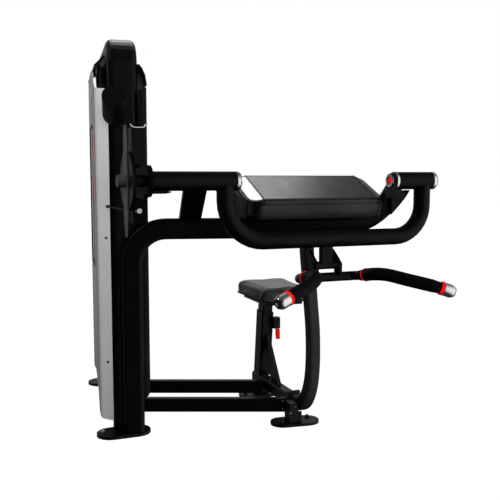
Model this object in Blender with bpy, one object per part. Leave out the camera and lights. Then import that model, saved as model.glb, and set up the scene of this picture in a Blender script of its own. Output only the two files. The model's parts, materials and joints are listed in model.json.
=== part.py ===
# Biceps machine with a weight stack: welded tube frame, tower with covers,
# swinging U-shaped arm on a horizontal pivot, hanging curl handle, sloped arm
# pad and height-adjustable seat. Metres, +Z up, +X along the arm's pivot axis
# away from the tower, +Y from the handle towards the seat.
import bpy
import bmesh
import math
from mathutils import Vector, Matrix

for ob in list(bpy.data.objects):
    bpy.data.objects.remove(ob, do_unlink=True)

# ------------------------------------------------------------------ dimensions
GAP = 0.0003            # clearance kept between touching solids

PIVOT_Z = 0.986         # height of the arm's pivot axis
PIVOT_R = 0.0335        # pivot housing and arm hubs, outer radius
SHAFT_R = 0.0150        # pivot shaft
HOUSING_X0, HOUSING_X1 = -0.2158, 0.0009
HUB_L0, HUB_L1 = 0.0012, 0.0850
HUB_R0, HUB_R1 = 0.7430, 0.8970
CAP_LEN = 0.0175

ARM_R = 0.0318          # U-arm tube radius
ARM_XL, ARM_XR = 0.0493, 0.8612
ARM_Z = 0.772           # bottom run centre height
ARM_BEND_L, ARM_BEND_R = 0.146, 0.120
ARM_MID = 0.455         # middle of the U, the pad and the handle

TOWER_AT = Vector((-0.250, 0.353, 0.0))
TOWER_TURN = math.radians(-6.8)   # the tower stands turned towards the seat
TOWER_TOP = 1.528
POST_W, POST_T = 0.1125, 0.050     # flat-oval arch tube
POST_NEAR_Y, POST_FAR_Y = 0.037, 0.757
POST_X = 0.019

FRAME_A = Vector((-0.205, 0.330, 0.0))   # main tube, floor end in plan
FRAME_B = Vector((0.757, 0.084, 0.0))
FRAME_H, FRAME_T = 0.080, 0.044
FRAME_Z = 0.803

SPINE_X = 0.448         # upright, cross member and seat post
SEAT_TOP = 0.530
PLATE_T = 0.054         # weight plate thickness
PLATE_PITCH = 0.0546
PLATE_Z0 = 0.612
PLATE_COUNT = 8
SELECTED = 3            # plates lifted with the pin where it is

OFFSET = Vector((-0.28075, -0.41044, 0.0))   # puts the footprint's centre at the origin

# ------------------------------------------------------------------- materials
MATS = {}


def mat(name, rgb, rough, metal=0.0):
    if name in MATS:
        return MATS[name]
    m = bpy.data.materials.new(name)
    m.use_nodes = True
    b = m.node_tree.nodes["Principled BSDF"]
    b.inputs["Base Color"].default_value = (*rgb, 1.0)
    b.inputs["Roughness"].default_value = rough
    b.inputs["Metallic"].default_value = metal
    m.diffuse_color = (*rgb, 1.0)
    MATS[name] = m
    return m


FRAME_BLACK = ("frame_black", (0.012, 0.012, 0.012), 0.42, 0.0)
SILVER = ("shroud_silver", (0.52, 0.52, 0.50), 0.38, 0.3)
COVER_GREY = ("cover_grey", (0.045, 0.045, 0.045), 0.5, 0.0)
STEEL = ("plate_black", (0.02, 0.02, 0.02), 0.55, 0.6)
CHROME = ("chrome", (0.9, 0.9, 0.9), 0.06, 1.0)
RUBBER = ("rubber_black", (0.012, 0.012, 0.012), 0.75, 0.0)
PAD = ("pad_black", (0.018, 0.018, 0.018), 0.35, 0.0)
RED = ("red_plastic", (0.75, 0.01, 0.01), 0.35, 0.0)
BELT = ("belt_black", (0.015, 0.015, 0.015), 0.6, 0.0)
PULLEY = ("pulley_plastic", (0.03, 0.03, 0.03), 0.45, 0.0)
GREY = ("cam_grey", (0.10, 0.10, 0.10), 0.4, 0.3)

# ---------------------------------------------------------------- frame empties


def empty(name, at, parent=None, turn=0.0):
    e = bpy.data.objects.new(name, None)
    e.empty_display_size = 0.05
    bpy.context.scene.collection.objects.link(e)
    e.parent = parent
    e.location = at
    e.rotation_euler = (0.0, 0.0, turn)
    return e


MACHINE = empty("machine_origin", OFFSET)
TOWER = empty("tower_origin", TOWER_AT, MACHINE, TOWER_TURN)
# Empties on the joint axes. Their children keep the machine's coordinates.
ARM_AXIS = empty("arm_axis", (0.0, 0.0, PIVOT_Z), MACHINE)
HANDLE_AXIS = empty("handle_axis", (ARM_MID, 0.0, 0.673), MACHINE)


def place(ob, parent):
    ob.parent = parent
    if parent in (ARM_AXIS, HANDLE_AXIS):
        ob.matrix_parent_inverse = Matrix.Translation(-Vector(parent.location))


# ----------------------------------------------------------------- mesh helpers


def finish(name, bm, material, parent=None, smooth=35.0):
    bmesh.ops.remove_doubles(bm, verts=bm.verts, dist=1e-6)
    bmesh.ops.recalc_face_normals(bm, faces=bm.faces)
    me = bpy.data.meshes.new(name)
    bm.to_mesh(me)
    bm.free()
    me.shade_smooth()
    me.set_sharp_from_angle(angle=math.radians(smooth))
    ob = bpy.data.objects.new(name, me)
    bpy.context.scene.collection.objects.link(ob)
    me.materials.append(mat(*material))
    place(ob, parent if parent is not None else MACHINE)
    return ob


def circle(r, n, phase=0.0):
    return [(r * math.cos(phase + 2 * math.pi * i / n), r * math.sin(phase + 2 * math.pi * i / n)) for i in range(n)]


def rrect(w, h, r, seg=3):
    pts = []
    for cx, cy, a0 in ((w / 2 - r, h / 2 - r, 0), (-w / 2 + r, h / 2 - r, 90), (-w / 2 + r, -h / 2 + r, 180), (w / 2 - r, -h / 2 + r, 270)):
        for i in range(seg + 1):
            a = math.radians(a0 + 90 * i / seg)
            pts.append((cx + r * math.cos(a), cy + r * math.sin(a)))
    return pts


def fillet(points, radii, seg=6):
    """Round the corners of a 3-D polyline with arcs."""
    pts = [Vector(p) for p in points]
    out = [pts[0]]
    for i in range(1, len(pts) - 1):
        a = (pts[i - 1] - pts[i]).normalized()
        b = (pts[i + 1] - pts[i]).normalized()
        ang = a.angle(b)
        r = radii[i - 1]
        d = r / math.tan(ang / 2)
        centre = pts[i] + (a + b).normalized() * (r / math.sin(ang / 2))
        p0 = pts[i] + a * d
        p1 = pts[i] + b * d
        u = p0 - centre
        v = p1 - centre
        turn = u.angle(v)
        for k in range(seg + 1):
            t = k / seg
            w = (math.sin((1 - t) * turn) * u + math.sin(t * turn) * v) / math.sin(turn)
            out.append(centre + w)
    out.append(pts[-1])
    return out


def spline(points, per=6):
    """Catmull-Rom curve through the points."""
    p = [Vector(q) for q in points]
    p = [p[0] * 2 - p[1]] + p + [p[-1] * 2 - p[-2]]
    out = []
    for i in range(1, len(p) - 2):
        for k in range(per):
            t = k / per
            a, b, c, d = p[i - 1], p[i], p[i + 1], p[i + 2]
            out.append(0.5 * ((2 * b) + (c - a) * t + (2 * a - 5 * b + 4 * c - d) * t * t + (3 * b - a - 3 * c + d) * t ** 3))
    out.append(p[-2])
    return out


def sweep(name, path, profile, material, parent=None, side=None, smooth=35.0, scales=None):
    """Closed solid: the profile carried along the path. With side given, it is
    the fixed direction of the profile's second axis; else frames are parallel
    transported."""
    path = [Vector(p) for p in path]
    n = len(path)
    tang = []
    for i in range(n):
        a = path[i] - path[i - 1] if i else path[1] - path[0]
        b = path[i + 1] - path[i] if i < n - 1 else path[-1] - path[-2]
        tang.append((a.normalized() + b.normalized()).normalized())
    bm = bmesh.new()
    rings = []
    v = None
    for i in range(n):
        t = tang[i]
        if side is not None:
            v = Vector(side)
            v = (v - t * v.dot(t)).normalized()
        elif v is None:
            v = t.orthogonal().normalized()
        else:
            v = (v - t * v.dot(t)).normalized()
        u = v.cross(t).normalized()
        # widen at mitred corners so the tube keeps its section
        m = 1.0
        if 0 < i < n - 1:
            m = 1.0 / max(0.5, math.cos(0.5 * (path[i] - path[i - 1]).angle(path[i + 1] - path[i])))
        s = scales[i] if scales else 1.0
        rings.append([bm.verts.new(path[i] + (u * p[0] * m + v * p[1]) * s) for p in profile])
    k = len(profile)
    for i in range(n - 1):
        for j in range(k):
            bm.faces.new((rings[i][j], rings[i][(j + 1) % k], rings[i + 1][(j + 1) % k], rings[i + 1][j]))
    bm.faces.new(list(reversed(rings[0])))
    bm.faces.new(rings[-1])
    return finish(name, bm, material, parent, smooth)


def prism(name, outline, lo, hi, axis, material, parent=None, smooth=35.0):
    """Outline extruded along an axis. For X the outline is (y, z), for Y it is
    (x, z), for Z it is (x, y)."""
    def put(p, h):
        if axis == "X":
            return (h, p[0], p[1])
        if axis == "Y":
            return (p[0], h, p[1])
        return (p[0], p[1], h)
    bm = bmesh.new()
    a = [bm.verts.new(put(p, lo)) for p in outline]
    b = [bm.verts.new(put(p, hi)) for p in outline]
    k = len(outline)
    bm.faces.new(a)
    bm.faces.new(b)
    for i in range(k):
        bm.faces.new((a[i], a[(i + 1) % k], b[(i + 1) % k], b[i]))
    return finish(name, bm, material, parent, smooth)


def turned(name, rings, at, axis, material, parent=None, n=32, bore=None):
    """Turned piece: rings are (position along the axis, radius). bore is the
    radius of a through hole."""
    axis = Vector(axis).normalized()
    u = axis.orthogonal().normalized()
    if abs(axis.z) < 0.9:
        u = Vector((0, 0, 1)).cross(axis).normalized()
    v = axis.cross(u)
    at = Vector(at)
    prof = list(rings)
    if bore:
        prof = prof + [(rings[-1][0], bore), (rings[0][0], bore)]
    bm = bmesh.new()
    cols = []
    for s, r in prof:
        cols.append([bm.verts.new(at + axis * s + (u * math.cos(2 * math.pi * i / n) + v * math.sin(2 * math.pi * i / n)) * r) for i in range(n)])
    m = len(cols)
    last = m if bore else m - 1
    for i in range(last):
        for j in range(n):
            bm.faces.new((cols[i][j], cols[i][(j + 1) % n], cols[(i + 1) % m][(j + 1) % n], cols[(i + 1) % m][j]))
    if not bore:
        bm.faces.new(cols[0])
        bm.faces.new(cols[-1])
    return finish(name, bm, material, parent)


def box(name, lo, hi, material, parent=None, bevel=0.0, seg=1):
    bm = bmesh.new()
    bmesh.ops.create_cube(bm, size=1.0)
    for v in bm.verts:
        v.co = Vector([lo[i] + (v.co[i] + 0.5) * (hi[i] - lo[i]) for i in range(3)])
    if bevel:
        bmesh.ops.bevel(bm, geom=list(bm.edges), offset=bevel, segments=seg, affect="EDGES", profile=0.5)
    return finish(name, bm, material, parent)


def cut(ob, tool, kind="DIFFERENCE"):
    tool.hide_render = True
    tool.display_type = "WIRE"
    m = ob.modifiers.new("cut_" + tool.name, "BOOLEAN")
    m.operation = kind
    m.object = tool
    m.solver = "EXACT"
    return m


def stadium(cx, cy, length, width, turn=0.0, seg=8):
    pts = []
    h = length / 2 - width / 2
    for s, a0 in ((1, -90), (-1, 90)):
        for i in range(seg + 1):
            a = math.radians(a0 + 180 * i / seg)
            x, y = s * h + width / 2 * math.cos(a), width / 2 * math.sin(a)
            pts.append((cx + x * math.cos(turn) - y * math.sin(turn), cy + x * math.sin(turn) + y * math.cos(turn)))
    return pts


# ------------------------------------------------------------------- the tower
near_foot_turn = -TOWER_TURN
prism("near_foot", stadium(0.0, 0.0, 0.212, 0.116, near_foot_turn), 0.0, 0.012, "Z", FRAME_BLACK, TOWER)
prism("far_foot", stadium(0.0, POST_FAR_Y - 0.012, 0.212, 0.116, 0.0), 0.0, 0.012, "Z", FRAME_BLACK, TOWER)

arch_path = fillet(
    [(POST_X, POST_NEAR_Y, 0.012 + GAP), (POST_X, POST_NEAR_Y, TOWER_TOP - POST_T / 2), (POST_X, POST_FAR_Y, TOWER_TOP - POST_T / 2), (POST_X, POST_FAR_Y, 0.012 + GAP)],
    [0.085, 0.085], seg=8)
sweep("tower_arch", arch_path, rrect(POST_T, POST_W, 0.0225, 4), FRAME_BLACK, TOWER, side=(1, 0, 0))

RAIL_Y0, RAIL_Y1 = POST_NEAR_Y + POST_T / 2 + GAP, POST_FAR_Y - POST_T / 2 - GAP
box("base_rail", (POST_X - 0.03, RAIL_Y0, 0.030), (POST_X + 0.03, RAIL_Y1, 0.100), FRAME_BLACK, TOWER, 0.006)
box("stack_shelf", (-0.052, RAIL_Y0, 0.5750), (0.088, RAIL_Y1, PLATE_Z0 - GAP), FRAME_BLACK, TOWER, 0.004)

# Sheet covers: a strip of sheet bent round the tower's side, running in plan
# through the given points, with its own top and bottom height at each point.


def sheet_cover(name, plan, zlo, zhi, thick, material, inward):
    pts = [Vector((p[0], p[1], 0.0)) for p in plan]
    n = len(pts)
    bm = bmesh.new()
    outer_lo, outer_hi, inner_lo, inner_hi = [], [], [], []
    for i in range(n):
        a = (pts[i] - pts[i - 1]).normalized() if i else (pts[1] - pts[0]).normalized()
        b = (pts[i + 1] - pts[i]).normalized() if i < n - 1 else a
        t = (a + b).normalized()
        nrm = Vector((-t.y, t.x, 0.0)) * inward
        off = thick / max(0.5, math.cos(0.5 * a.angle(b))) if a.angle(b) > 1e-6 else thick
        q = pts[i] + nrm * off
        outer_lo.append(bm.verts.new((pts[i].x, pts[i].y, zlo[i])))
        outer_hi.append(bm.verts.new((pts[i].x, pts[i].y, zhi[i])))
        inner_lo.append(bm.verts.new((q.x, q.y, zlo[i])))
        inner_hi.append(bm.verts.new((q.x, q.y, zhi[i])))
    for i in range(n - 1):
        bm.faces.new((outer_lo[i], outer_lo[i + 1], outer_hi[i + 1], outer_hi[i]))
        bm.faces.new((inner_lo[i], inner_lo[i + 1], inner_hi[i + 1], inner_hi[i]))
        bm.faces.new((outer_hi[i], outer_hi[i + 1], inner_hi[i + 1], inner_hi[i]))
        bm.faces.new((outer_lo[i], outer_lo[i + 1], inner_lo[i + 1], inner_lo[i]))
    for i in (0, n - 1):
        bm.faces.new((outer_lo[i], outer_hi[i], inner_hi[i], inner_lo[i]))
    return finish(name, bm, material, TOWER, 30.0)


SH_X = -0.0378          # shroud's inner edge against the posts
shroud_plan = [(SH_X, 0.010), (-0.0800, 0.010), (-0.0870, 0.0125), (-0.0900, 0.020), (-0.0888, 0.090), (-0.0865, 0.250), (-0.0825, 0.500),
               (-0.0770, 0.700), (-0.0745, 0.768), (-0.0715, 0.779), (-0.0650, 0.784), (SH_X, 0.784)]
shroud_hi = [1.330, 1.330, 1.335, 1.350, 1.398, 1.424, 1.428, 1.422, 1.375, 1.345, 1.330, 1.330]
shroud_lo = [0.052, 0.065, 0.076, 0.098, 0.148, 0.170, 0.170, 0.150, 0.098, 0.076, 0.065, 0.052]
shroud = sheet_cover("stack_shroud", shroud_plan, shroud_lo, shroud_hi, 0.0025, SILVER, -1)
win = box("cut_window", (-0.13, 0.200, 0.640), (-0.06, 0.600, 1.210), SILVER, TOWER, 0.012, 2)
cut(shroud, win)

cover_plan = [(0.0762, 0.006), (0.092, 0.006), (0.1020, 0.010), (0.1085, 0.024), (0.1100, 0.090), (0.1110, 0.250), (0.1110, 0.540),
              (0.1100, 0.700), (0.1080, 0.770), (0.1020, 0.784), (0.092, 0.788), (0.0762, 0.788)]
cover_hi = [1.330, 1.330, 1.335, 1.340, 1.345, 1.345, 1.345, 1.345, 1.340, 1.335, 1.330, 1.330]
cover_lo = [0.128, 0.135, 0.145, 0.160, 0.175, 0.180, 0.180, 0.175, 0.160, 0.145, 0.135, 0.128]
sheet_cover("rear_cover", cover_plan, cover_lo, cover_hi, 0.0025, COVER_GREY, 1)

# Sloped caps over the two covers, folded sheet with flat sections
left_cap = [(-0.0380, 1.4740), (-0.0380, 1.4690), (-0.0765, 1.4320), (-0.0790, 1.4360), (-0.0410, 1.4740)]
prism("shroud_cap", left_cap, 0.150, 0.700, "Y", FRAME_BLACK, TOWER)
right_cap = [(0.0760, 1.4250), (0.0760, 1.4200), (0.0880, 1.4080), (0.0995, 1.3840), (0.1065, 1.3460), (0.1100, 1.3460), (0.1040, 1.3850), (0.0920, 1.4115), (0.0800, 1.4250)]
prism("rear_cover_cap", right_cap, 0.014, 0.780, "Y", FRAME_BLACK, TOWER)

# Guide rods, plates, top plate with its selector rod
STACK_Y = (POST_NEAR_Y + POST_FAR_Y) / 2
ROD_Y = (STACK_Y - 0.150, STACK_Y + 0.150)
ROD_TOP = 1.3180        # underside of the bar that holds the rods' upper ends
for nm, ry in (("guide_rod_near", ROD_Y[0]), ("guide_rod_far", ROD_Y[1])):
    turned(nm, [(PLATE_Z0, 0.0095), (ROD_TOP - GAP, 0.0095)], (POST_X, ry, 0.0), (0, 0, 1), CHROME, TOWER, 16)

PLATE_X0, PLATE_X1 = POST_X - 0.055, POST_X + 0.055
PLATE_Y0, PLATE_Y1 = STACK_Y - 0.190, STACK_Y + 0.190


def slab_with_holes(name, z0, z1, holes, material, slot=None):
    """A plate with vertical round holes, made as one closed mesh by a Boolean."""
    ob = box(name, (PLATE_X0, PLATE_Y0, z0), (PLATE_X1, PLATE_Y1, z1), material, TOWER, 0.003)
    for k, (hy, hr) in enumerate(holes):
        tool = turned(f"cut_{name}_{k}", [(z0 - 0.01, hr), (z1 + 0.01, hr)], (POST_X, hy, 0.0), (0, 0, 1), material, TOWER, 16)
        cut(ob, tool)
    if slot:
        cut(ob, slot)
    return ob


PIN_PLATE = PLATE_COUNT - SELECTED       # index from the bottom of the plate that holds the pin
for i in range(PLATE_COUNT):
    z0 = PLATE_Z0 + i * PLATE_PITCH
    slot = None
    if i == PIN_PLATE:
        slot = turned("cut_pin_hole", [(-0.12, 0.0066), (0.030, 0.0066)], (POST_X, STACK_Y, z0 + PLATE_T / 2), (1, 0, 0), STEEL, TOWER, 12)
    slab_with_holes(f"weight_plate_{i + 1}", z0, z0 + PLATE_T, [(ROD_Y[0], 0.0120), (ROD_Y[1], 0.0120), (STACK_Y, 0.0150)], STEEL, slot)

TOP_Z0 = PLATE_Z0 + PLATE_COUNT * PLATE_PITCH
top = slab_with_holes("top_plate", TOP_Z0, TOP_Z0 + 0.034, [(ROD_Y[0], 0.0105), (ROD_Y[1], 0.0105)], STEEL)
stem = turned("add_selector_rod", [(PLATE_Z0 + 0.020, 0.0125), (TOP_Z0 + 0.060, 0.0125)], (POST_X, STACK_Y, 0.0), (0, 0, 1), STEEL, TOWER, 16)
cut(top, stem, "UNION")
PIN_Z = PLATE_Z0 + PIN_PLATE * PLATE_PITCH + PLATE_T / 2
pin_through = turned("cut_rod_hole", [(-0.030, 0.0066), (0.030, 0.0066)], (POST_X, STACK_Y, PIN_Z), (1, 0, 0), STEEL, TOWER, 12)
cut(top, pin_through)
# selector pin: bar into the plate, knob in front of the plate edge
turned("selector_pin", [(PLATE_X0 - 0.030, 0.0095), (PLATE_X0 - 0.026, 0.0125), (PLATE_X0 - 0.006, 0.0125), (PLATE_X0 - 0.0006, 0.0105),
                        (PLATE_X0 - 0.0005, 0.0060), (POST_X + 0.026, 0.0060)], (0.0, STACK_Y, PIN_Z), (1, 0, 0), RED, TOWER, 16)

# Pulleys: the flat belt comes in from the cam beside the near post, rises,
# crosses to the stack's centre and drops to the top plate
PUL_R = 0.036
PUL_W = 0.013
BELT_T, BELT_W = 0.0024, 0.0100
BR = PUL_R + BELT_T / 2 + GAP      # belt centre line radius on a pulley
UP_Z = 1.395
CAM_R = 0.0960
CAM_XC = -0.2930                   # belt plane at the cam
BELT_LOW = PIVOT_Z - CAM_R - BELT_T / 2 - GAP
ENTRY_Z = BELT_LOW + BR
SIDE_X = -0.0560                   # belt plane of the entry and near pulleys
ENTRY_Y = 0.108
UP_NEAR_Y = ENTRY_Y + 2 * BR
UPF_Y = STACK_Y - BR
BELT_X = POST_X


def pulley(name, y, z, x):
    rings = [(x - PUL_W, PUL_R + 0.006), (x - PUL_W + 0.002, PUL_R + 0.006), (x - PUL_W + 0.0035, PUL_R - 0.0005), (x + PUL_W - 0.0035, PUL_R - 0.0005),
             (x + PUL_W - 0.002, PUL_R + 0.006), (x + PUL_W, PUL_R + 0.006)]
    return turned(name, rings, (0.0, y, z), (1, 0, 0), PULLEY, TOWER, 24, bore=0.0070)


pulley("entry_pulley", ENTRY_Y, ENTRY_Z, SIDE_X)
pulley("upper_pulley_near", UP_NEAR_Y, UP_Z, SIDE_X)
pulley("upper_pulley_far", UPF_Y, UP_Z, BELT_X)


def axle(name, y, z, x0, x1):
    return turned(name, [(x0, 0.0067), (x1, 0.0067)], (0.0, y, z), (1, 0, 0), FRAME_BLACK, TOWER, 16)


# bracket hanging from the arch's top: both upper axles and the rods' upper bar
brk_z1 = TOWER_TOP - POST_T - GAP
bracket = box("pulley_bracket", (BELT_X - PUL_W - 0.006, UP_NEAR_Y - 0.025, ROD_TOP + 0.010), (BELT_X - PUL_W - 0.001, UPF_Y + 0.025, brk_z1), FRAME_BLACK, TOWER, 0.0)
rod_bar = box("add_rod_bar", (BELT_X - 0.022, ROD_Y[0] - 0.022, ROD_TOP), (BELT_X + 0.022, ROD_Y[1] + 0.022, ROD_TOP + 0.018), FRAME_BLACK, TOWER, 0.0)
cut(bracket, rod_bar, "UNION")
cut(bracket, box("cut_belt_hole", (BELT_X - 0.0120, STACK_Y - 0.0080, ROD_TOP - 0.01), (BELT_X + 0.0120, STACK_Y + 0.0080, ROD_TOP + 0.03), FRAME_BLACK, TOWER, 0.0))
cut(bracket, box("cut_belt_pass", (BELT_X - 0.030, 0.280, UP_Z + BR - 0.010), (BELT_X - 0.005, 0.348, UP_Z + BR + 0.010), FRAME_BLACK, TOWER, 0.0))
cut(bracket, axle("add_axle_near", UP_NEAR_Y, UP_Z, SIDE_X - PUL_W - 0.004, BELT_X - PUL_W - 0.002), "UNION")
cut(bracket, axle("add_axle_far", UPF_Y, UP_Z, BELT_X - PUL_W - 0.004, BELT_X + PUL_W + 0.004), "UNION")
# bracket of the entry pulley on the back of the near post
entry = box("entry_bracket", (SIDE_X + PUL_W + 0.003, POST_NEAR_Y + POST_T / 2 + GAP, ENTRY_Z - 0.022), (0.030, POST_NEAR_Y + POST_T / 2 + 0.006, ENTRY_Z + 0.022), FRAME_BLACK, TOWER, 0.0)
cut(entry, box("add_entry_ear", (SIDE_X + PUL_W + 0.003, POST_NEAR_Y + POST_T / 2 + 0.001, ENTRY_Z - 0.022), (SIDE_X + PUL_W + 0.008, ENTRY_Y + 0.020, ENTRY_Z + 0.022), FRAME_BLACK, TOWER, 0.0), "UNION")
cut(entry, axle("add_axle_entry", ENTRY_Y, ENTRY_Z, SIDE_X - PUL_W - 0.004, SIDE_X + PUL_W + 0.006), "UNION")


def arc_yz(cy, cz, r, a0, a1, n, x):
    return [(x, cy + r * math.cos(math.radians(a0 + (a1 - a0) * i / n)), cz + r * math.sin(math.radians(a0 + (a1 - a0) * i / n))) for i in range(n + 1)]


def to_tower(x, y, z):
    """Machine coordinates given in the tower's turned frame."""
    dx, dy = x - TOWER_AT.x, y - TOWER_AT.y
    c, t = math.cos(-TOWER_TURN), math.sin(-TOWER_TURN)
    return (dx * c - dy * t, dx * t + dy * c, z)


belt_prof = rrect(BELT_T, BELT_W, 0.0006, 1)
belt_path = [to_tower(CAM_XC, 0.002, BELT_LOW)]
belt_path += arc_yz(ENTRY_Y, ENTRY_Z, BR, -90, 0, 6, SIDE_X)
belt_path += arc_yz(UP_NEAR_Y, UP_Z, BR, 180, 90, 7, SIDE_X)
belt_path += [(SIDE_X, UP_NEAR_Y + 0.030, UP_Z + BR), (BELT_X, UPF_Y - 0.030, UP_Z + BR)]
belt_path += arc_yz(UPF_Y, UP_Z, BR, 90, 0, 7, BELT_X)
sweep("drive_belt", belt_path, belt_prof, BELT, TOWER, side=(1, 0, 0))
DROP_Y = UPF_Y + BR
box("belt_drop", (BELT_X - BELT_W / 2, DROP_Y - BELT_T / 2, TOP_Z0 + 0.0605), (BELT_X + BELT_W / 2, DROP_Y + BELT_T / 2, UP_Z - 0.0005), BELT, TOWER, 0.0)
cut(shroud, box("cut_belt_slot", (-0.0520, 0.000, BELT_LOW - 0.0055), (-0.0300, 0.020, BELT_LOW + 0.0055), SILVER, TOWER))

# Accessory peg: fat stub on the near post, tilted up towards the user's front
PEG_R = 0.0440
peg_dir = Vector((-0.0095, -0.127, 0.057))
peg_dir.normalize()
turned("accessory_peg", [(0.0, PEG_R), (0.137, PEG_R), (0.1395, PEG_R - 0.0025)], (-0.016, -0.0105, 1.232), peg_dir, RUBBER, TOWER, 28)

# ------------------------------------------------------------ main welded frame
frame_dir = (FRAME_B - FRAME_A).normalized()
frame_side = Vector((-frame_dir.y, frame_dir.x, 0.0))


def in_frame_plane(s, z):
    p = FRAME_A + frame_dir * s
    return Vector((p.x, p.y, z))


frame_path = fillet(
    [in_frame_plane(-0.0075, 0.012 + GAP), in_frame_plane(-0.0075, FRAME_Z), in_frame_plane(0.900, FRAME_Z + 0.0)],
    [0.130], seg=10)
tip = spline([in_frame_plane(0.780, FRAME_Z), in_frame_plane(0.845, FRAME_Z + 0.008), in_frame_plane(0.906, FRAME_Z + 0.031), in_frame_plane(0.950, FRAME_Z + 0.057),
              in_frame_plane(0.990, FRAME_Z + 0.094), in_frame_plane(1.014, FRAME_Z + 0.1290), in_frame_plane(1.030, FRAME_Z + 0.1560)], per=3)
frame_path = frame_path[:-1] + [in_frame_plane(0.60, FRAME_Z)] + tip
main_tube = sweep("main_frame_tube", frame_path, rrect(FRAME_H, FRAME_T, 0.014, 3), FRAME_BLACK, MACHINE, side=frame_side)

# Strut from the frame tube up to the pivot housing
strut_lo = in_frame_plane(0.216, FRAME_Z + FRAME_H / 2 + 0.006)
strut_hi = Vector((-0.0485, 0.032, PIVOT_Z - 0.010))
strut = sweep("pivot_strut", [strut_lo + (strut_lo - strut_hi).normalized() * 0.030, strut_hi], rrect(0.030, 0.084, 0.006, 2), FRAME_BLACK, MACHINE, side=(1, 0, 0))
cut(strut, turned("cut_strut_top", [(-0.30, PIVOT_R + GAP), (0.20, PIVOT_R + GAP)], (0.0, 0.0, PIVOT_Z), (1, 0, 0), FRAME_BLACK, MACHINE, 48))
strut_tool_path = [in_frame_plane(0.00, FRAME_Z), in_frame_plane(0.60, FRAME_Z)]
strut_tool = sweep("cut_strut_low", strut_tool_path, rrect(FRAME_H + 2 * GAP, FRAME_T + 2 * GAP, 0.0145, 3), FRAME_BLACK, MACHINE, side=frame_side)
cut(strut, strut_tool)
strut_under = box("cut_strut_under", (-0.3, 0.0, 0.60), (0.3, 0.5, FRAME_Z - 0.002), FRAME_BLACK, MACHINE)
cut(strut, strut_under)

# Pivot housing: hollow tube with a flange, held by a carrier arm on the near post
turned("pivot_housing", [(HOUSING_X0, PIVOT_R), (HOUSING_X1, PIVOT_R)], (0, 0, PIVOT_Z), (1, 0, 0), FRAME_BLACK, MACHINE, 40, bore=SHAFT_R + GAP)

# carrier: plate square to the pivot with a round eye, and an arm back to the post
plate = [(0.345, PIVOT_Z + 0.028), (0.330, PIVOT_Z + 0.034), (0.060, PIVOT_Z + 0.050)]
for i in range(13):
    a = math.radians(80 + 200 * i / 12)
    plate.append((0.054 * math.cos(a), PIVOT_Z + 0.054 * math.sin(a)))
plate += [(0.060, PIVOT_Z - 0.060), (0.345, PIVOT_Z - 0.060)]
carrier = prism("pivot_carrier", plate, -0.2360, -0.2190, "X", FRAME_BLACK, MACHINE)
cut(carrier, turned("cut_carrier_eye", [(-0.30, SHAFT_R + 0.0010), (-0.10, SHAFT_R + 0.0010)], (0, 0, PIVOT_Z), (1, 0, 0), FRAME_BLACK, MACHINE, 32))
post_tool = box("cut_carrier_post", (-0.060, 0.0117, 0.80), (0.09, 0.20, 1.20), FRAME_BLACK, TOWER)
cut(carrier, post_tool)
# gusset plates between carrier and housing, above and below the tube
gus = [(-0.2250, PIVOT_Z - PIVOT_R - GAP), (-0.2250, PIVOT_Z - PIVOT_R - 0.0085), (-0.175, PIVOT_Z - PIVOT_R - 0.0085), (-0.155, PIVOT_Z - PIVOT_R - 0.005), (-0.155, PIVOT_Z - PIVOT_R - GAP)]
cut(carrier, prism("add_pivot_gusset", gus, -0.030, 0.040, "Y", FRAME_BLACK, MACHINE), "UNION")

# Fixed bearing carrier at the far end of the pivot axis
eye = []
for i in range(17):
    a = math.radians(-20 + 220 * i / 16)
    eye.append((0.0285 * math.cos(a), PIVOT_Z + 0.0285 * math.sin(a)))
eye += [(-0.0240, PIVOT_Z - 0.048), (-0.0160, PIVOT_Z - 0.066), (0.0330, PIVOT_Z - 0.066), (0.0330, PIVOT_Z - 0.024)]
rb = prism("right_bearing", eye, 0.7165, 0.7275, "X", FRAME_BLACK, MACHINE)
lug = prism("add_bearing_lug", [(0.7180, -0.0160), (0.7740, -0.0160), (0.7740, 0.0560), (0.7500, 0.0620), (0.7500, 0.0330), (0.7180, 0.0330)], PIVOT_Z - 0.0660, PIVOT_Z - PIVOT_R - 0.0035, "Z", FRAME_BLACK, MACHINE)
cut(rb, lug, "UNION")
wing = [(0.7500, 0.9490), (0.8320, 0.9490), (0.8300, 0.9440), (0.8146, 0.9218), (0.7922, 0.8966), (0.7500, 0.8546)]
bearing_wing = prism("add_bearing_wing", wing, 0.0385, 0.0500, "Y", FRAME_BLACK, MACHINE)
cut(bearing_wing, sweep("cut_wing_tube", frame_path, rrect(FRAME_H + 2 * GAP, FRAME_T + 2 * GAP, 0.0145, 3), FRAME_BLACK, MACHINE, side=frame_side))
cut(rb, bearing_wing, "UNION")
cut(rb, turned("cut_bearing_eye", [(0.70, SHAFT_R + GAP), (0.75, SHAFT_R + GAP)], (0, 0, PIVOT_Z), (1, 0, 0), FRAME_BLACK, MACHINE, 32))

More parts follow.
